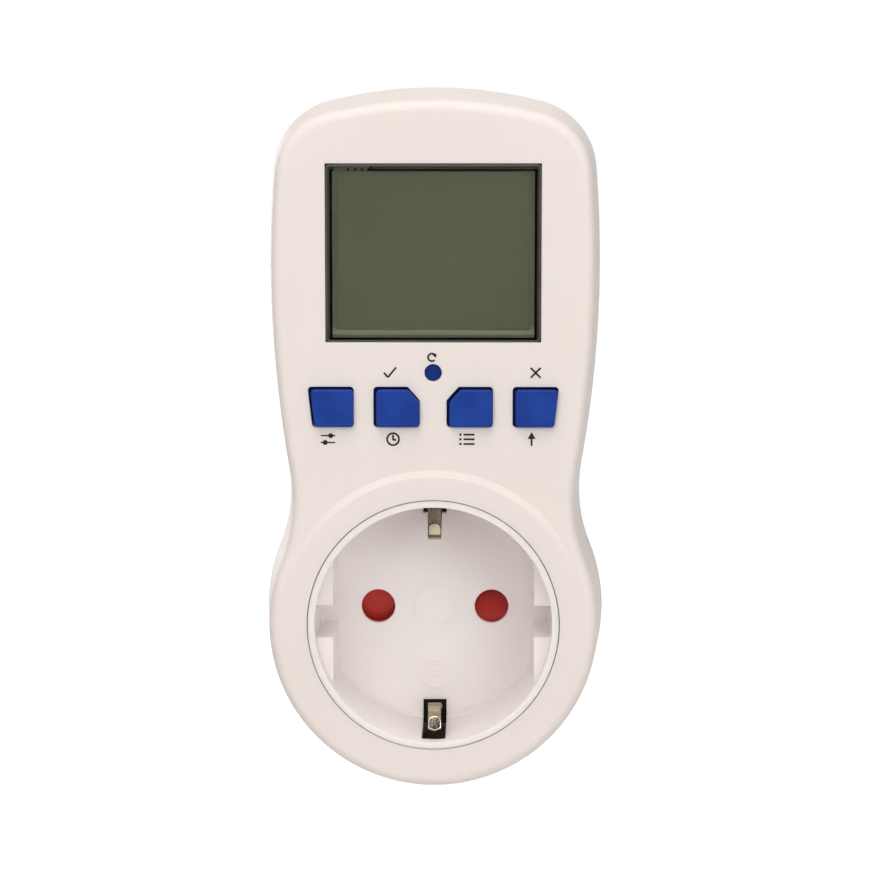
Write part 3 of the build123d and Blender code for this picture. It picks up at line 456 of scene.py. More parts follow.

# A dark warm grey border seen through the pane, quite matt.
border_layer = moulded_plastic(
    "dark_grey_back_border",
    "#5B5750",
    "#504C46",
    grain_mm=0.3,
    relief=0.1,
    roughness=0.4,
    specular=0.1,
)
dress(border, border_layer, "case", "frame_black")


# --- Display: a blank liquid-crystal panel of two glass sheets, behind a black foam frame. ---
# A grey-green polariser is laminated to its front and stops short of the glass's edge. Four dots
# are printed at the filling edge, where the frame is notched. The contacts are at the lower edge.
FILM_X = (-15.35, 15.3)
FILM_Z = (47.5, 72.65)
FILM_THICKNESS = 0.15
FILM_ROUND = 0.05
LCD_Y = -51.6
BARE_STRIP_Z = (47.2, 48.2)
GLASS_RIM_Z = (46.6, 46.75)
DOTS_X = (-13.53, -12.4, -11.28, -10.3)
DOT_Z = 72.87
DOT_R = 0.21
DOT_HEIGHT = 0.06
DOT_RIM = 0.04
DOT_DOME = 0.02

# Glass over the reflector: grey-green and glossy. The bare strip over the contacts is lighter, and
# the ground rim below it greyer.
lcd_glass, tree = new_material("lcd_glass_over_reflector")
place = add_node(tree, "TexCoord").outputs["Object"]
cloud = add_node(tree, "TexNoise", {"Scale": 1 / (12 * MM), "Detail": 2.0}, {"Vector": place})
tone = add_node(
    tree,
    "MixRGB",
    {"Color1": linear("#797A6B"), "Color2": linear("#737465")},
    {"Fac": cloud.outputs["Fac"]},
)
height = add_node(tree, "SeparateXYZ", links={"Vector": place}).outputs["Z"]
for (z0, z1), colour in ((BARE_STRIP_Z, "#9B9785"), (GLASS_RIM_Z, "#777A77")):
    edge = add_node(tree, "MapRange", {"From Min": z1 * MM, "From Max": z0 * MM}, {"Value": height})
    tone = add_node(
        tree,
        "MixRGB",
        {"Color2": linear(colour)},
        {"Fac": edge.outputs[0], "Color1": tone.outputs[0]},
    )
glass = add_node(
    tree,
    "BsdfPrincipled",
    {
        "Roughness": 0.12,
        "IOR": 1.52,
        "Specular IOR Level": 0.2,
        "Coat Weight": 0.1,
        "Coat Roughness": 0.03,
    },
    {"Base Color": tone.outputs[0]},
)
add_node(tree, "OutputMaterial", links={"Surface": glass.outputs[0]})
finish_with(lcd_glass, "lcd_panel")

low = (FILM_X[0], LCD_Y - FILM_THICKNESS, FILM_Z[0])
high = (FILM_X[1], LCD_Y, FILM_Z[1])
film = block("lcd_polariser", low, high)
pick("edges", lambda e: near(middle(e).y, LCD_Y - FILM_THICKNESS))
bpy.ops.mesh.bevel(offset=FILM_ROUND * MM, segments=2, affect="EDGES")
smooth(film)
keep_flat(film)

# Stretched PVA film: matt grey-green, faintly streaked along the way that it was drawn. The real
# streaks are finer than the 1.5 mm that shows.
polariser, tree = new_material("grey_green_polariser_film")
place = add_node(tree, "TexCoord").outputs["Object"]
drawn = add_node(tree, "Mapping", {"Scale": (1.0, 1.0, 0.06)}, {"Vector": place})
streaks = add_node(
    tree,
    "TexNoise",
    {"Scale": 1 / (1.5 * MM), "Detail": 3.0},
    {"Vector": drawn.outputs[0]},
)
cloud = add_node(tree, "TexNoise", {"Scale": 1 / (16 * MM), "Detail": 2.0}, {"Vector": place})
mixed = add_node(
    tree,
    "MixRGB",
    {"Fac": 0.7},
    {"Color1": streaks.outputs["Fac"], "Color2": cloud.outputs["Fac"]},
)
tone = add_node(
    tree,
    "MixRGB",
    {"Color1": linear("#737263"), "Color2": linear("#696A5B")},
    {"Fac": mixed.outputs[0]},
)
matt = add_node(
    tree,
    "BsdfPrincipled",
    {"Roughness": 0.35, "IOR": 1.5, "Specular IOR Level": 0.12},
    {"Base Color": tone.outputs[0]},
)
add_node(tree, "OutputMaterial", links={"Surface": matt.outputs[0]})
dress(film, polariser, "case", "lcd_grey")


def join(parts, name):
    """Joins parts into the first of them under a new name, and shades it smooth."""
    bpy.ops.object.select_all(action="DESELECT")
    for part in parts:
        part.select_set(True)
    piece = bpy.context.view_layer.objects.active = parts[0]
    bpy.ops.object.join()
    piece.name = piece.data.name = name
    settle()
    smooth(piece)
    return piece


def copy_to(piece, x, z=0.0):
    """A copy of a piece with its own mesh, beside it by a move in millimetres."""
    bpy.ops.object.select_all(action="DESELECT")
    piece.select_set(True)
    bpy.context.view_layer.objects.active = piece
    bpy.ops.object.duplicate()
    bpy.ops.transform.translate(value=(x * MM, 0, z * MM))
    settle()
    return bpy.context.object


bpy.ops.mesh.primitive_cylinder_add(
    vertices=24,
    radius=DOT_R * MM,
    depth=DOT_HEIGHT * MM,
    location=(DOTS_X[0] * MM, (LCD_Y - DOT_HEIGHT / 2) * MM, DOT_Z * MM),
    rotation=(pi / 2, 0, 0),
)
dot = bpy.context.object
settle()
bpy.ops.object.mode_set(mode="EDIT")
pick("faces", lambda f: len(f.verts) > 4 and faces_front(f))
bpy.ops.mesh.inset(thickness=DOT_RIM * MM, depth=DOT_DOME * MM)
bpy.ops.object.mode_set(mode="OBJECT")
dots = [dot] + [copy_to(dot, x - DOTS_X[0]) for x in DOTS_X[1:]]

# Screen ink on the glass: near black and matt.
dot_ink = moulded_plastic(
    "printed_dark_dot",
    "#23221A",
    "#1C1B15",
    grain_mm=0.1,
    relief=0.1,
    roughness=0.5,
    specular=0.2,
)
dress(join(dots, "lcd_dots"), dot_ink, "case", "lcd_grey")

# The frame is die-cut from black closed-cell foam: matt, with fine open pores on its skin.
foam = moulded_plastic(
    "black_closed_cell_foam",
    "#0A0908",
    "#100E0C",
    grain_mm=0.12,
    relief=0.8,
    roughness=0.75,
    specular=0.03,
)
finish_with(foam, "display_gasket")

# Contact strips of thin layers of silicone, by turns black with carbon and clear: mottled greys.
striped_rubber = moulded_plastic(
    "striped_contact_rubber",
    "#2B2B2E",
    "#6E6E72",
    grain_mm=0.3,
    relief=0.1,
    roughness=0.5,
    specular=0.3,
)
finish_with(striped_rubber, "zebra_strips")


# --- Keys: blue silicone rubber, each with its own dome in the grey mat behind it. ---
# The caps stand a millimetre proud of the face. The reset key is round, and sunk below it.

# Moulded silicone is satin. Its blue drifts between two tones, and the lighter tone is partly a
# painted sheen, for the light that the keys' edges catch.
key_rubber_and_sheen = moulded_plastic(
    "satin_blue_silicone_and_painted_sheen",
    "#16378D",
    "#19409A",
    grain_mm=0.15,
    relief=0.3,
    roughness=0.45,
    specular=0.15,
    flow_mm=5,
)
finish_with(key_rubber_and_sheen, "key_set", "key_clock", "key_program", "key_up")
# The reset key is the same rubber in a darker copy: painted shade, for the shade that it is sunk
# in.
reset_rubber_painted_shade = moulded_plastic(
    "blue_silicone_painted_shade",
    "#133180",
    "#112E7A",
    grain_mm=0.15,
    relief=0.3,
    roughness=0.45,
    specular=0.1,
)
finish_with(reset_rubber_painted_shade, "key_reset")

# The mat is softer and duller, in plain grey.
mat_rubber = moulded_plastic(
    "grey_silicone",
    "#6F7478",
    "#6A6F73",
    grain_mm=0.3,
    relief=0.3,
    roughness=0.6,
    specular=0.3,
)
finish_with(mat_rubber, "keypad_mat", "web_set", "web_clock", "web_program", "web_up", "web_reset")


# --- Key marks: pad-printed black ink on the face, one plain sign to each key. ---
# The print is half sunk in the face, so that it stands 0.02 mm proud with no gap under it.
FACE_Y = -54.0
INK = 0.02
INK_LINE = 0.3
INK_EDGE = 0.03
BELOW_KEYS_Z = 30.1
ABOVE_KEYS_Z = 40.75


def ink_bar(x0, z0, x1, z1, width=INK_LINE):
    """A printed line between two points of the face, in millimetres, with an edge drawn in."""
    length = ((x1 - x0) ** 2 + (z1 - z0) ** 2) ** 0.5
    bpy.ops.mesh.primitive_cube_add(
        size=1,
        location=((x0 + x1) / 2 * MM, FACE_Y * MM, (z0 + z1) / 2 * MM),
        rotation=(0, -atan2(z1 - z0, x1 - x0), 0),
    )
    bpy.context.object.scale = (length * MM, 2 * INK * MM, width * MM)
    settle()
    bpy.ops.object.mode_set(mode="EDIT")
    pick("faces", faces_front)
    bpy.ops.mesh.inset(thickness=INK_EDGE * MM)
    bpy.ops.object.mode_set(mode="OBJECT")
    return bpy.context.object


def ink_disc(x, z, radius, corners, turn=0.0):
    """A disc with no thickness yet, in edit mode with its face selected."""
    bpy.ops.mesh.primitive_circle_add(
        vertices=corners,
        radius=radius * MM,
        fill_type="NGON",
        location=(x * MM, (FACE_Y + INK) * MM, z * MM),
        rotation=(pi / 2, turn, 0),
    )
    settle()
    bpy.ops.object.mode_set(mode="EDIT")
    pick("faces", lambda f: True)


def raise_ink():
    """Gives a disc or ring its thickness and leaves edit mode."""
    pick("faces", lambda f: True)
    extrude(y=-2 * INK)
    bpy.ops.mesh.select_all(action="SELECT")
    bpy.ops.mesh.normals_make_consistent(inside=False)
    bpy.ops.object.mode_set(mode="OBJECT")
    return bpy.context.object


def ink_spot(x, z, radius, corners=24, turn=0.0):
    """A printed disc, or with three corners an arrow head."""
    ink_disc(x, z, radius, corners, turn)
    return raise_ink()


def ink_ring(x, z, radius, gap=0.0):
    """A printed ring of the line's width, open over an angle at its right."""
    ink_disc(x, z, radius, 40)
    bpy.ops.mesh.inset(thickness=INK_LINE * MM)
    pick(
        "faces",
        lambda f: len(f.verts) > 4 or abs(atan2(middle(f).z - z, middle(f).x - x)) < gap / 2,
    )
    bpy.ops.mesh.delete(type="FACE")
    return raise_ink()


def ink_line(points):
    """Printed lines from point to point."""
    return [ink_bar(*start, *end) for start, end in zip(points, points[1:])]


# Two sliders.
x, z = -16.8, BELOW_KEYS_Z
marks = []
for side in (-1, 1):
    marks += [ink_bar(x - 1.15, z + 0.55 * side, x + 1.15, z + 0.55 * side, 0.22)]
    marks += [ink_spot(x + 0.45 * side, z + 0.55 * side, 0.4)]
# A clock face.
x = -6.4
marks += [ink_ring(x, z, 1.1)]
marks += ink_line([(x, z + 0.7), (x, z - 0.1), (x + 0.5, z - 0.1)])
# A list.
x = 5.4
for step in (-0.75, 0.0, 0.75):
    marks += [ink_bar(x - 0.55, z + step, x + 1.2, z + step)]
    marks += [ink_spot(x - 1.05, z + step, 0.2, 12)]
# An arrow up.
x = 15.7
marks += [ink_bar(x, z - 1.05, x, z + 0.4), ink_spot(x, z + 0.45, 0.75, 3)]
# A tick.
x, z = -6.9, ABOVE_KEYS_Z
marks += ink_line([(x - 0.95, z), (x - 0.3, z - 0.75), (x + 1.0, z + 0.85)])
# A cross.
x = 16.3
marks += [ink_bar(x - 0.8, z - 0.8, x + 0.8, z + 0.8)]
marks += [ink_bar(x - 0.8, z + 0.8, x + 0.8, z - 0.8)]
# A small round arrow for the reset key.
x, z = -0.2, 43.2
marks += [ink_ring(x, z, 0.75, pi / 2), ink_spot(x + 0.5, z + 0.3, 0.42, 3, 0.6)]

# Pad ink dries matt, and its cover is a little uneven.
ink = moulded_plastic(
    "pad_printed_black_ink",
    "#15110F",
    "#221D1A",
    grain_mm=0.3,
    relief=0.3,
    roughness=0.55,
    specular=0.3,
)
dress(join(marks, "key_marks"), ink, "case", "frame_black")


# --- Slot shade sheets: matt black, one round each earth strip, as painted shade. ---
# Each closes a slot behind the cup's wall, standing in for the shade there, and has a passage for
# the strip.
EARTH_SIDES = {"top": 1, "bottom": -1}
SHADE_SHEET_HALF = 1.9
SHADE_SHEET_Y = (-36.7, -36.3)
SHADE_SHEET_R = (16.0, 20.0)
PASSAGE_X = (-0.97, 1.29)
PASSAGE_R = (16.95, 17.65)

# Matt, nearly black and slightly fuzzy: painted shade.
slot_shade_black = moulded_plastic(
    "black_sheet_painted_shade",
    "#14110F",
    "#1C1815",
    grain_mm=0.2,
    relief=0.4,
    roughness=0.7,
    specular=0.1,
)
for name, side in EARTH_SIDES.items():
    z0, z1 = sorted(side * r for r in SHADE_SHEET_R)
    low, high = (-SHADE_SHEET_HALF, SHADE_SHEET_Y[0], z0), (SHADE_SHEET_HALF, SHADE_SHEET_Y[1], z1)
    slot_shade_piece = block("slot_shade_sheet_" + name, low, high)
    bpy.ops.object.mode_set(mode="OBJECT")
    z0, z1 = sorted(side * r for r in PASSAGE_R)
    low = (PASSAGE_X[0], SHADE_SHEET_Y[0] - CUT_OVERRUN, z0)
    high = (PASSAGE_X[1], SHADE_SHEET_Y[1] + CUT_OVERRUN, z1)
    cut_away(slot_shade_piece, block("passage", low, high))
    dress(slot_shade_piece, slot_shade_black, "case", "frame_black")


# --- Earth strips: nickel-plated bronze, blanked and bent, one at the top, one at the bottom. ---
# Each runs in one piece from its sprung clip in the recess back to the contact on the plug's side.
# The clips' crests are rubbed, and paler with a painted highlight. The top one has a pressed nose,
# the bottom one a coined pad.
STRIP = 0.6
CLIP_X = 0.16
CLIP_HALF = 1.08
CLIP_BEND = 1.4
CLIP_POINT = {1: 0.0, -1: 0.42}
RUN_HALF = 1.7
RUN_BEND = 0.8
BLANKED_ROUND = 0.12
CREST_WEAR_AND_HIGHLIGHT = 0.55
PAD_X = CLIP_X + 0.04
PAD_R = {1: 15.3, -1: 16.6}
PAD_WALL = 0.05
PAD_CHAMFER = 0.09
CROWN_STEPS = 3
CROWN_STEP = 0.09
CROWN_LIFT = 0.23

# Paths of (y, r), where r is the distance up or down from the socket's axis.
CLIP_PATHS = {
    1: [(-51.9, 19.4), (-50.3, 13.2), (-37.0, 17.3), (-30.0, 17.3)],
    -1: [(-51.9, 17.6), (-50.3, 13.8), (-37.0, 17.3), (-30.0, 17.3)],
}
RUN_PATH = [(-30.0, 17.3), (-16.5, 17.3), (-10.5, 17.9), (-3.5, 17.1)]


def pick_across(y, z):
    """Selects the edge that lies across a strip at a corner of its path."""
    pick("edges", lambda e: near(middle(e).y, y) and near(middle(e).z, z))


def strip_run(name, path, half, side):
    """A flat strip along a path, extruded edge by edge, still in edit mode."""
    (y0, r0), (y1, r1) = path[0], path[1]
    length = ((y1 - y0) ** 2 + (r1 - r0) ** 2) ** 0.5
    bpy.ops.object.select_all(action="DESELECT")
    bpy.ops.mesh.primitive_plane_add(
        size=1,
        location=(0, (y0 + y1) / 2 * MM, side * (r0 + r1) / 2 * MM),
        rotation=(atan2(side * (r1 - r0), y1 - y0), 0, 0),
    )
    piece = bpy.context.object
    piece.name = piece.data.name = name
    piece.scale = (2 * half * MM, length * MM, 1)
    settle()
    bpy.ops.object.mode_set(mode="EDIT")
    for (y0, r0), (y1, r1) in zip(path[1:], path[2:]):
        pick_across(y0, side * r0)
        extrude(y=y1 - y0, z=side * (r1 - r0))
    return piece


def bend(path, side, radius):
    """Rounds the strip in edit mode at the second and third corners of its path."""
    for y, r in path[1:3]:
        pick_across(y, side * r)
        bpy.ops.mesh.bevel(offset=radius * MM, segments=6, affect="EDGES")


def thicken(piece):
    """Gives a strip its thickness on both sides and rounds its blanked edges."""
    bpy.ops.mesh.select_all(action="SELECT")
    bpy.ops.mesh.normals_make_consistent(inside=False)
    bpy.ops.object.mode_set(mode="OBJECT")
    wall = piece.modifiers.new("thickness", "SOLIDIFY")
    wall.thickness = STRIP * MM
    wall.offset = 0
    bpy.ops.object.modifier_apply(modifier=wall.name)
    edges = piece.modifiers.new("blanked_edges", "BEVEL")
    edges.width = BLANKED_ROUND * MM
    edges.segments = 3
    edges.limit_method = "ANGLE"
    edges.angle_limit = radians(50)
    bpy.ops.object.modifier_apply(modifier=edges.name)


def crowned_pad(place, tilt, width, height, rise, point, face_metal, edge_metal):
    """A pressed pad on the clip: round at its far end, straight or pointed at its other end."""
    bpy.ops.object.select_all(action="DESELECT")
    bpy.ops.mesh.primitive_circle_add(vertices=32, radius=width / 2 * MM, fill_type="NGON")
    piece = bpy.context.object
    piece.data.materials.append(face_metal)
    piece.data.materials.append(edge_metal)
    # The lower half of the disc becomes a straight end, with a point at its middle if it has one.
    bpy.ops.object.mode_set(mode="EDIT")
    pick("verts", lambda v: v.co.y < 0.01 * MM)
    bpy.ops.transform.resize(value=(1, 0, 1), center_override=(0, 0, 0))
    bpy.ops.transform.translate(value=(0, (width / 2 - height) * MM, 0))
    spare_from = 0.01 * MM if point else -1.0
    pick("verts", lambda v: v.co.y < 0 and spare_from < abs(v.co.x) < 0.495 * width * MM)
    bpy.ops.mesh.dissolve_verts()
    pick("verts", lambda v: v.co.y < 0 and abs(v.co.x) < 0.01 * MM)
    bpy.ops.transform.translate(value=(0, -point * MM, 0))
    # A low wall and chamfer in the edge's metal, then the crown in steps.
    pick("faces", lambda f: True)
    extrude(z=PAD_WALL)
    bpy.ops.mesh.inset(thickness=PAD_CHAMFER * MM, depth=PAD_WALL * MM)
    bpy.ops.mesh.select_all(action="INVERT")
    piece.active_material_index = 1
    bpy.ops.object.material_slot_assign()
    bpy.ops.mesh.select_all(action="INVERT")
    for _ in range(CROWN_STEPS):
        bpy.ops.mesh.inset(thickness=CROWN_STEP * width * MM, depth=CROWN_LIFT * rise * MM)
    bpy.ops.object.mode_set(mode="OBJECT")
    piece.rotation_euler = (tilt, 0, 0)
    piece.location = [v * MM for v in place]
    settle()
    return piece


def plated_metal(name, colour, tint, roughness, grain_mm, drawn, relief):
    """Metal with a thin dull film in patches and fine marks drawn out along Z by rolls or dies.

    The real marks are a few hundredths of a millimetre wide, so grain_mm is coarser to show.
    """
    material, tree = new_material(name)
    place = add_node(tree, "TexCoord").outputs["Object"]
    along = add_node(tree, "Mapping", {"Scale": (1.0, 1.0, drawn)}, {"Vector": place})
    marks = add_node(
        tree,
        "TexNoise",
        {"Scale": 1 / (grain_mm * MM), "Detail": 3.0},
        {"Vector": along.outputs[0]},
    )
    lines = add_node(tree, "MapRange", MOST_OF_NOISE, {"Value": marks.outputs["Fac"]})
    dulled = add_node(tree, "TexNoise", {"Scale": 1 / (1.8 * MM), "Detail": 2.0}, {"Vector": place})
    patches = add_node(tree, "MapRange", MOST_OF_NOISE, {"Value": dulled.outputs["Fac"]})
    both = add_node(
        tree,
        "MixRGB",
        {"Fac": 0.4},
        {"Color1": lines.outputs[0], "Color2": patches.outputs[0]},
    )
    shade = add_node(
        tree,
        "MixRGB",
        {"Color1": linear(colour), "Color2": linear(tint)},
        {"Fac": both.outputs[0]},
    )
    dull = add_node(
        tree,
        "MapRange",
        {"To Min": roughness - 0.08, "To Max": roughness + 0.1},
        {"Value": marks.outputs["Fac"]},
    )
    bump = add_node(
        tree,
        "Bump",
        {"Strength": relief, "Distance": GRAIN_DEPTH},
        {"Height": marks.outputs["Fac"]},
    )
    metal = add_node(
        tree,
        "BsdfPrincipled",
        {"Metallic": 1.0},
        {"Base Color": shade.outputs[0], "Roughness": dull.outputs[0], "Normal": bump.outputs[0]},
    )
    add_node(tree, "OutputMaterial", links={"Surface": metal.outputs[0]})
    return material


# Thin nickel over bronze: warm grey and dull, streaked along the strip. The top clip's copy is
# darker: painted shade, for the dark that it reflects. The crests' and the nose's copy is paler:
# plug wear, and a painted highlight.
strip_nickel = plated_metal(
    "dull_nickel_on_bronze",
    "#8E8471",
    "#554C3E",
    roughness=0.4,
    grain_mm=0.12,
    drawn=0.05,
    relief=0.4,
)
shaded_nickel_copy = plated_metal(
    "nickel_on_bronze_painted_shade",
    "#6E6056",
    "#40372F",
    roughness=0.36,
    grain_mm=0.16,
    drawn=0.03,
    relief=0.5,
)
rubbed_nickel_and_highlight = plated_metal(
    "rubbed_nickel_crest_and_painted_highlight",
    "#B0A68F",
    "#9A917B",
    roughness=0.45,
    grain_mm=0.2,
    drawn=0.3,
    relief=0.3,
)

# The nose's edge is painted dark: a painted shadow round it. The coined pad is glossy and blotched
# with black, and its squeezed edge is painted near white: a painted highlight.
shadowed_pad_edge = plated_metal(
    "dark_pad_edge_painted_shadow",
    "#3A322B",
    "#241F1B",
    roughness=0.4,
    grain_mm=0.2,
    drawn=1.0,
    relief=0.3,
)
coined_nickel = plated_metal(
    "coined_nickel_pad",
    "#857F70",
    "#030202",
    roughness=0.26,
    grain_mm=0.32,
    drawn=1.0,
    relief=1.0,
)
highlight_pad_edge = plated_metal(
    "coined_edge_painted_highlight",
    "#F2ECE0",
    "#D8CFBE",
    roughness=0.3,
    grain_mm=0.2,
    drawn=1.0,
    relief=0.3,
)
# The top clip takes the darker copy of the nickel: painted shade.
CLIP_METALS = {1: shaded_nickel_copy, -1: strip_nickel}
# The top pad's edge is a painted shadow, the bottom pad's edge a painted highlight.
PADS = {
    1: {
        "width": 2.04,
        "height": 2.1,
        "rise": 0.3,
        "point": 0.0,
        "face_metal": rubbed_nickel_and_highlight,
        "edge_metal": shadowed_pad_edge,
    },
    -1: {
        "width": 2.0,
        "height": 1.9,
        "rise": 0.05,
        "point": 0.38,
        "face_metal": coined_nickel,
        "edge_metal": highlight_pad_edge,
    },
}

for name, side in EARTH_SIDES.items():
    path = CLIP_PATHS[side]
    (tip_y, tip_r), (crest_y, crest_r) = path[0], path[1]
    slope = atan2(crest_y - tip_y, tip_r - crest_r)

    # The clip, whose tip is cut to a point at the bottom one.
    clip = strip_run("earth_clip_" + name, path, CLIP_HALF, side)
    pick("edges", lambda e: near(middle(e).y, tip_y))
    bpy.ops.mesh.subdivide(number_cuts=1)
    pick("verts", lambda v: near(v.co.y / MM, tip_y) and abs(v.co.x) < 0.1 * MM)
    point = CLIP_POINT[side] * MM
    bpy.ops.transform.translate(value=(0, -point * sin(slope), -point * cos(slope)))
    bend(path, side, CLIP_BEND)
    pick("verts", lambda v: True)
    bpy.ops.transform.translate(value=(CLIP_X * MM, 0, 0))
    thicken(clip)
    clip.data.materials.append(CLIP_METALS[side])
    clip.data.materials.append(rubbed_nickel_and_highlight)
    # Faces near the crest take the paler copy: plug wear and a painted highlight.
    for face in clip.data.polygons:
        if abs(face.center.z) < (crest_r + CREST_WEAR_AND_HIGHLIGHT) * MM:
            face.material_index = 1

    # The wider run to the plug's side.
    run = strip_run("earth_run_" + name, RUN_PATH, RUN_HALF, side)
    bend(RUN_PATH, side, RUN_BEND)
    thicken(run)
    run.data.materials.append(strip_nickel)

    # The pad, on the sloping face between the tip and the crest.
    pad_r = PAD_R[side]
    pad_y = crest_y - (pad_r - crest_r) * sin(slope) / cos(slope) - cos(slope) * STRIP / 2
    pad_z = side * (pad_r - sin(slope) * STRIP / 2)
    pad = crowned_pad((PAD_X, pad_y, pad_z), pi / 2 + side * slope, **PADS[side])

    join([clip, run, pad], "earth_clip_" + name)
    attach(clip, "case")
    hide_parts("earth_strip_" + name)
    bpy.ops.object.select_all(action="DESELECT")


# --- Plug pins: turned brass, nickel-plated, with a rounded tip. ---
# A collar behind the plug's face and a stub behind that hold each pin in the plug's body.
PIN_X = 9.5
PIN_LENGTH = 19.0
PIN_TIP_ROUND = 1.15
PIN_COLLAR_R = 2.8
PIN_COLLAR_LENGTH = 9.0
PIN_SHOULDER = 0.4
STUB_SHOULDER = 0.8
STUB_LENGTH = 4.0

# Bright nickel over turned brass: a clear, slightly warm shine with faint wear.
pin_nickel = plated_metal(
    "bright_nickel_on_brass",
    "#D9D3C8",
    "#C9C1B2",
    roughness=0.22,
    grain_mm=0.15,
    drawn=1.0,
    relief=0.15,
)
bpy.ops.mesh.primitive_cylinder_add(
    vertices=64,
    radius=PIN_COLLAR_R * MM,
    depth=PIN_COLLAR_LENGTH * MM,
    location=(-PIN_X * MM, -PIN_COLLAR_LENGTH / 2 * MM, 0),
    rotation=(-pi / 2, 0, 0),
)
line_pin = bpy.context.object
settle()
bpy.ops.object.mode_set(mode="EDIT")
pick("faces", lambda f: f.normal.y > 0.9)
bpy.ops.mesh.inset(thickness=PIN_SHOULDER * MM)
extrude(y=PIN_LENGTH)
pick("edges", lambda e: all(near(v.co.y / MM, PIN_LENGTH) for v in e.verts))
bpy.ops.mesh.bevel(offset=PIN_TIP_ROUND * MM, segments=8, affect="EDGES")
pick("faces", lambda f: faces_front(f) and near(middle(f).y, -PIN_COLLAR_LENGTH))
bpy.ops.mesh.inset(thickness=STUB_SHOULDER * MM)
extrude(y=-STUB_LENGTH)
smooth(line_pin)
for name, pin in (("line", line_pin), ("neutral", copy_to(line_pin, 2 * PIN_X))):
    pin.name = pin.data.name = name + "_plug_pin"
    dress(pin, pin_nickel, "case", "nickel", name + "_pin")


# --- Contacts, bars and sleeve: brass and bronze strip and tube, behind the pins and pin holes. ---
# The contacts and bars are blanked and bent from rolled strip. The sleeve takes the earth pin.

# Rolled brass has a soft yellow sheen, with fine lines along the strip.
brass = plated_metal(
    "rolled_brass_strip",
    "#C9A25A",
    "#B58E4B",
    roughness=0.3,
    grain_mm=0.15,
    drawn=0.1,
    relief=0.2,
)
finish_with(brass, "line_contact", "neutral_contact", "line_bar_in", "line_bar_out", "neutral_bar")
finish_with(strip_nickel, "earth_bridge")
finish_with(pin_nickel, "earth_sleeve")


# --- Case screws: zinc-plated steel with pan heads, driven from behind, deep in wells. ---
# Each has a cross recess, and its shank ends in a short point in the front half's columns.
SCREWS = [(-17.0, -17.0), (17.0, -17.0), (-19.3, 77.4), (19.3, 77.4)]
SEAT_Y = -23.5
HEAD_R = 2.1
HEAD_HEIGHT = 1.6
HEAD_ROUND = 0.6
HEAD_OVERHANG = 0.9
SHANK_LENGTH = 21.2
POINT_LENGTH = 0.8
POINT_SHARE = 0.4
RECESS_Y = (SEAT_Y + 0.9, SEAT_Y + 1.9)
RECESS_ARMS = ((0.6, 2.5), (2.5, 0.6))
RECESS_TAPER = 0.6

x, z = SCREWS[0]
bpy.ops.mesh.primitive_cylinder_add(
    vertices=48,
    radius=HEAD_R * MM,
    depth=HEAD_HEIGHT * MM,
    location=(x * MM, (SEAT_Y + HEAD_HEIGHT / 2) * MM, z * MM),
    rotation=(-pi / 2, 0, 0),
)
screw = bpy.context.object
settle()
bpy.ops.object.mode_set(mode="EDIT")
pick("edges", lambda e: all(near(v.co.y / MM, SEAT_Y + HEAD_HEIGHT) for v in e.verts))
bpy.ops.mesh.bevel(offset=HEAD_ROUND * MM, segments=5, affect="EDGES")
pick("faces", faces_front)
bpy.ops.mesh.inset(thickness=HEAD_OVERHANG * MM)
extrude(y=-SHANK_LENGTH)
extrude(y=-POINT_LENGTH)
bpy.ops.transform.resize(value=(POINT_SHARE, 1, POINT_SHARE))
bpy.ops.object.mode_set(mode="OBJECT")
for width, height in RECESS_ARMS:
    low = (x - width / 2, RECESS_Y[0], z - height / 2)
    high = (x + width / 2, RECESS_Y[1], z + height / 2)
    cutter = block("recess_cutter", low, high)
    pick("faces", faces_front)
    bpy.ops.transform.resize(value=(RECESS_TAPER, 1, RECESS_TAPER))
    cut_away(screw, cutter)
screws = [screw] + [copy_to(screw, other_x - x, other_z - z) for other_x, other_z in SCREWS[1:]]

# Zinc plate: a pale, slightly blue grey with a soft shine.
zinc = plated_metal(
    "zinc_plated_steel",
    "#A9ABA8",
    "#8F918C",
    roughness=0.3,
    grain_mm=0.1,
    drawn=1.0,
    relief=0.2,
)
dress(join(screws, "cross_head_screws"), zinc, "case", "steel", "case_screws")
finish_with(zinc, "display_board_screws", "power_board_screws")

# Drawn spring wire is darker, with a smooth skin.
spring_steel = plated_metal(
    "spring_steel_wire",
    "#8C8F92",
    "#75777A",
    roughness=0.3,
    grain_mm=0.1,
    drawn=1.0,
    relief=0.1,
)
finish_with(spring_steel, "shutter_spring")


# --- Circuit boards: glass-fibre laminate under green solder mask, etched with copper tracks. ---
# Both are screwed to posts, the display's board in the front half and the power board in the rear.
TRACK_PITCH = 1.8 * MM
TRACK_GAP = 0.35 * MM
TRACK_LENGTH = 5 * MM
CLOTH_PITCH = 0.5 * MM

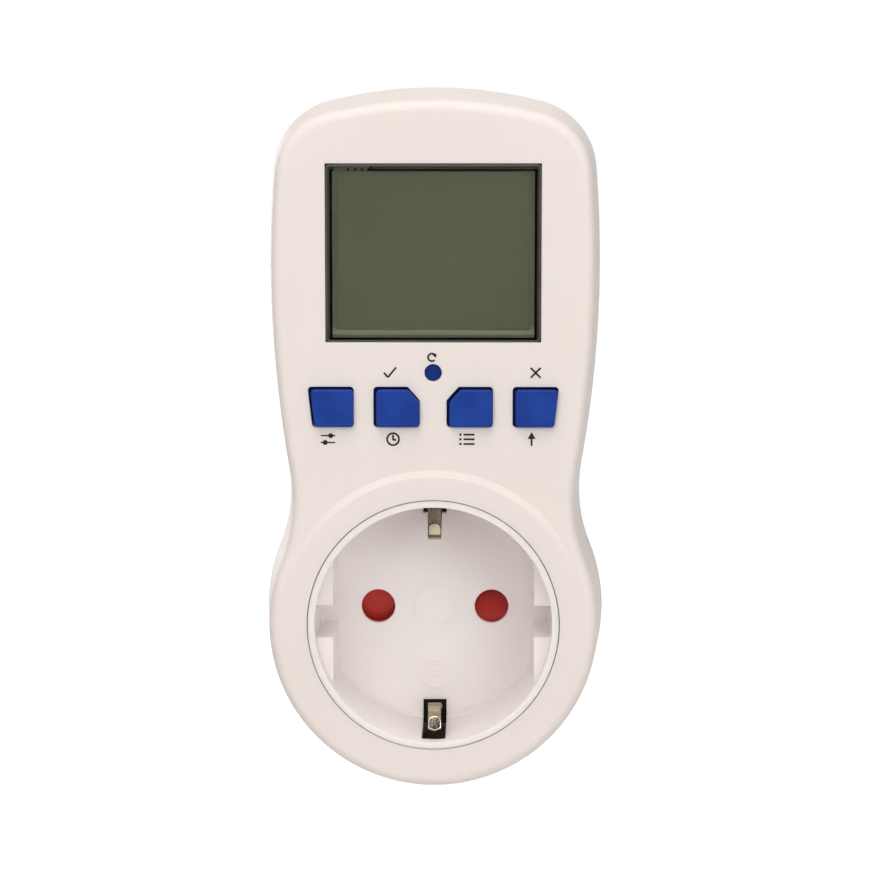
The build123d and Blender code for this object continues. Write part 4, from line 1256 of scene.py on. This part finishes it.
# The mask is glossy, the tracks under it show lighter, and the glass cloth's weave shows faintly.
mask, tree = new_material("green_solder_mask_on_laminate")
place = add_node(tree, "TexCoord").outputs["Object"]
flat = add_node(tree, "Mapping", {"Rotation": (pi / 2, 0, 0)}, {"Vector": place})
tracks = add_node(
    tree,
    "TexBrick",
    {
        "Color1": linear("#1F5A2E"),
        "Color2": linear("#2A6B38"),
        "Mortar": linear("#3E8A4B"),
        "Scale": 1.0,
        "Mortar Size": TRACK_GAP,
        "Brick Width": TRACK_LENGTH,
        "Row Height": TRACK_PITCH,
    },
    {"Vector": flat.outputs[0]},
    offset=0.35,
)
weave = add_node(
    tree, "TexWave", {"Scale": 1 / CLOTH_PITCH, "Distortion": 1.0}, {"Vector": place}
)
bump = add_node(
    tree, "Bump", {"Strength": 0.15, "Distance": GRAIN_DEPTH}, {"Height": weave.outputs["Fac"]}
)
board = add_node(
    tree,
    "BsdfPrincipled",
    {"Roughness": 0.3},
    {"Base Color": tracks.outputs["Color"], "Normal": bump.outputs[0]},
)
add_node(tree, "OutputMaterial", links={"Surface": board.outputs[0]})
finish_with(mask, "display_board", "power_board")


# --- Parts on the boards: moulded, dipped and sleeved, each in its trade's usual colour. ---
# They are soldered to their board by their leads.

# PBT cases are satin, epoxy is matt where moulded and glossy where dipped, a shrunk sleeve is
# glossy, lacquer on ceramic is a little rough, and the cable's PVC is satin.
for finish, colour, tint, grain_mm, relief, roughness, *parts in (
    ("satin_blue_pbt", "#27508E", "#234A85", 0.25, 0.2, 0.4, "relay"),
    ("satin_yellow_pbt", "#D3A62B", "#C99D27", 0.25, 0.2, 0.4, "dropper_capacitor"),
    ("black_moulding_epoxy", "#1A1A1C", "#222224", 0.15, 0.4, 0.5, "controller_chip", "rectifier"),
    ("shrunk_dark_sleeve", "#20263A", "#252C42", 0.5, 0.1, 0.25, "smoothing_capacitor"),
    ("epoxy_dipped_disc", "#2A5C9C", "#24528D", 1.2, 0.4, 0.3, "varistor"),
    ("green_lacquered_ceramic", "#5C8A6B", "#527D60", 0.6, 0.3, 0.45, "fuse_resistor"),
    ("grey_flat_cable_pvc", "#9A9C9E", "#8D8F92", 0.5, 0.2, 0.5, "board_link"),
):
    finish_with(moulded_plastic(finish, colour, tint, grain_mm, relief, roughness), *parts)

# Nickel-plated steel cans are cool and bright.
steel_can = plated_metal(
    "nickel_plated_steel_can",
    "#C4C6C6",
    "#B2B4B4",
    roughness=0.25,
    grain_mm=0.1,
    drawn=1.0,
    relief=0.1,
)
finish_with(steel_can, "clock_crystal", "backup_battery")
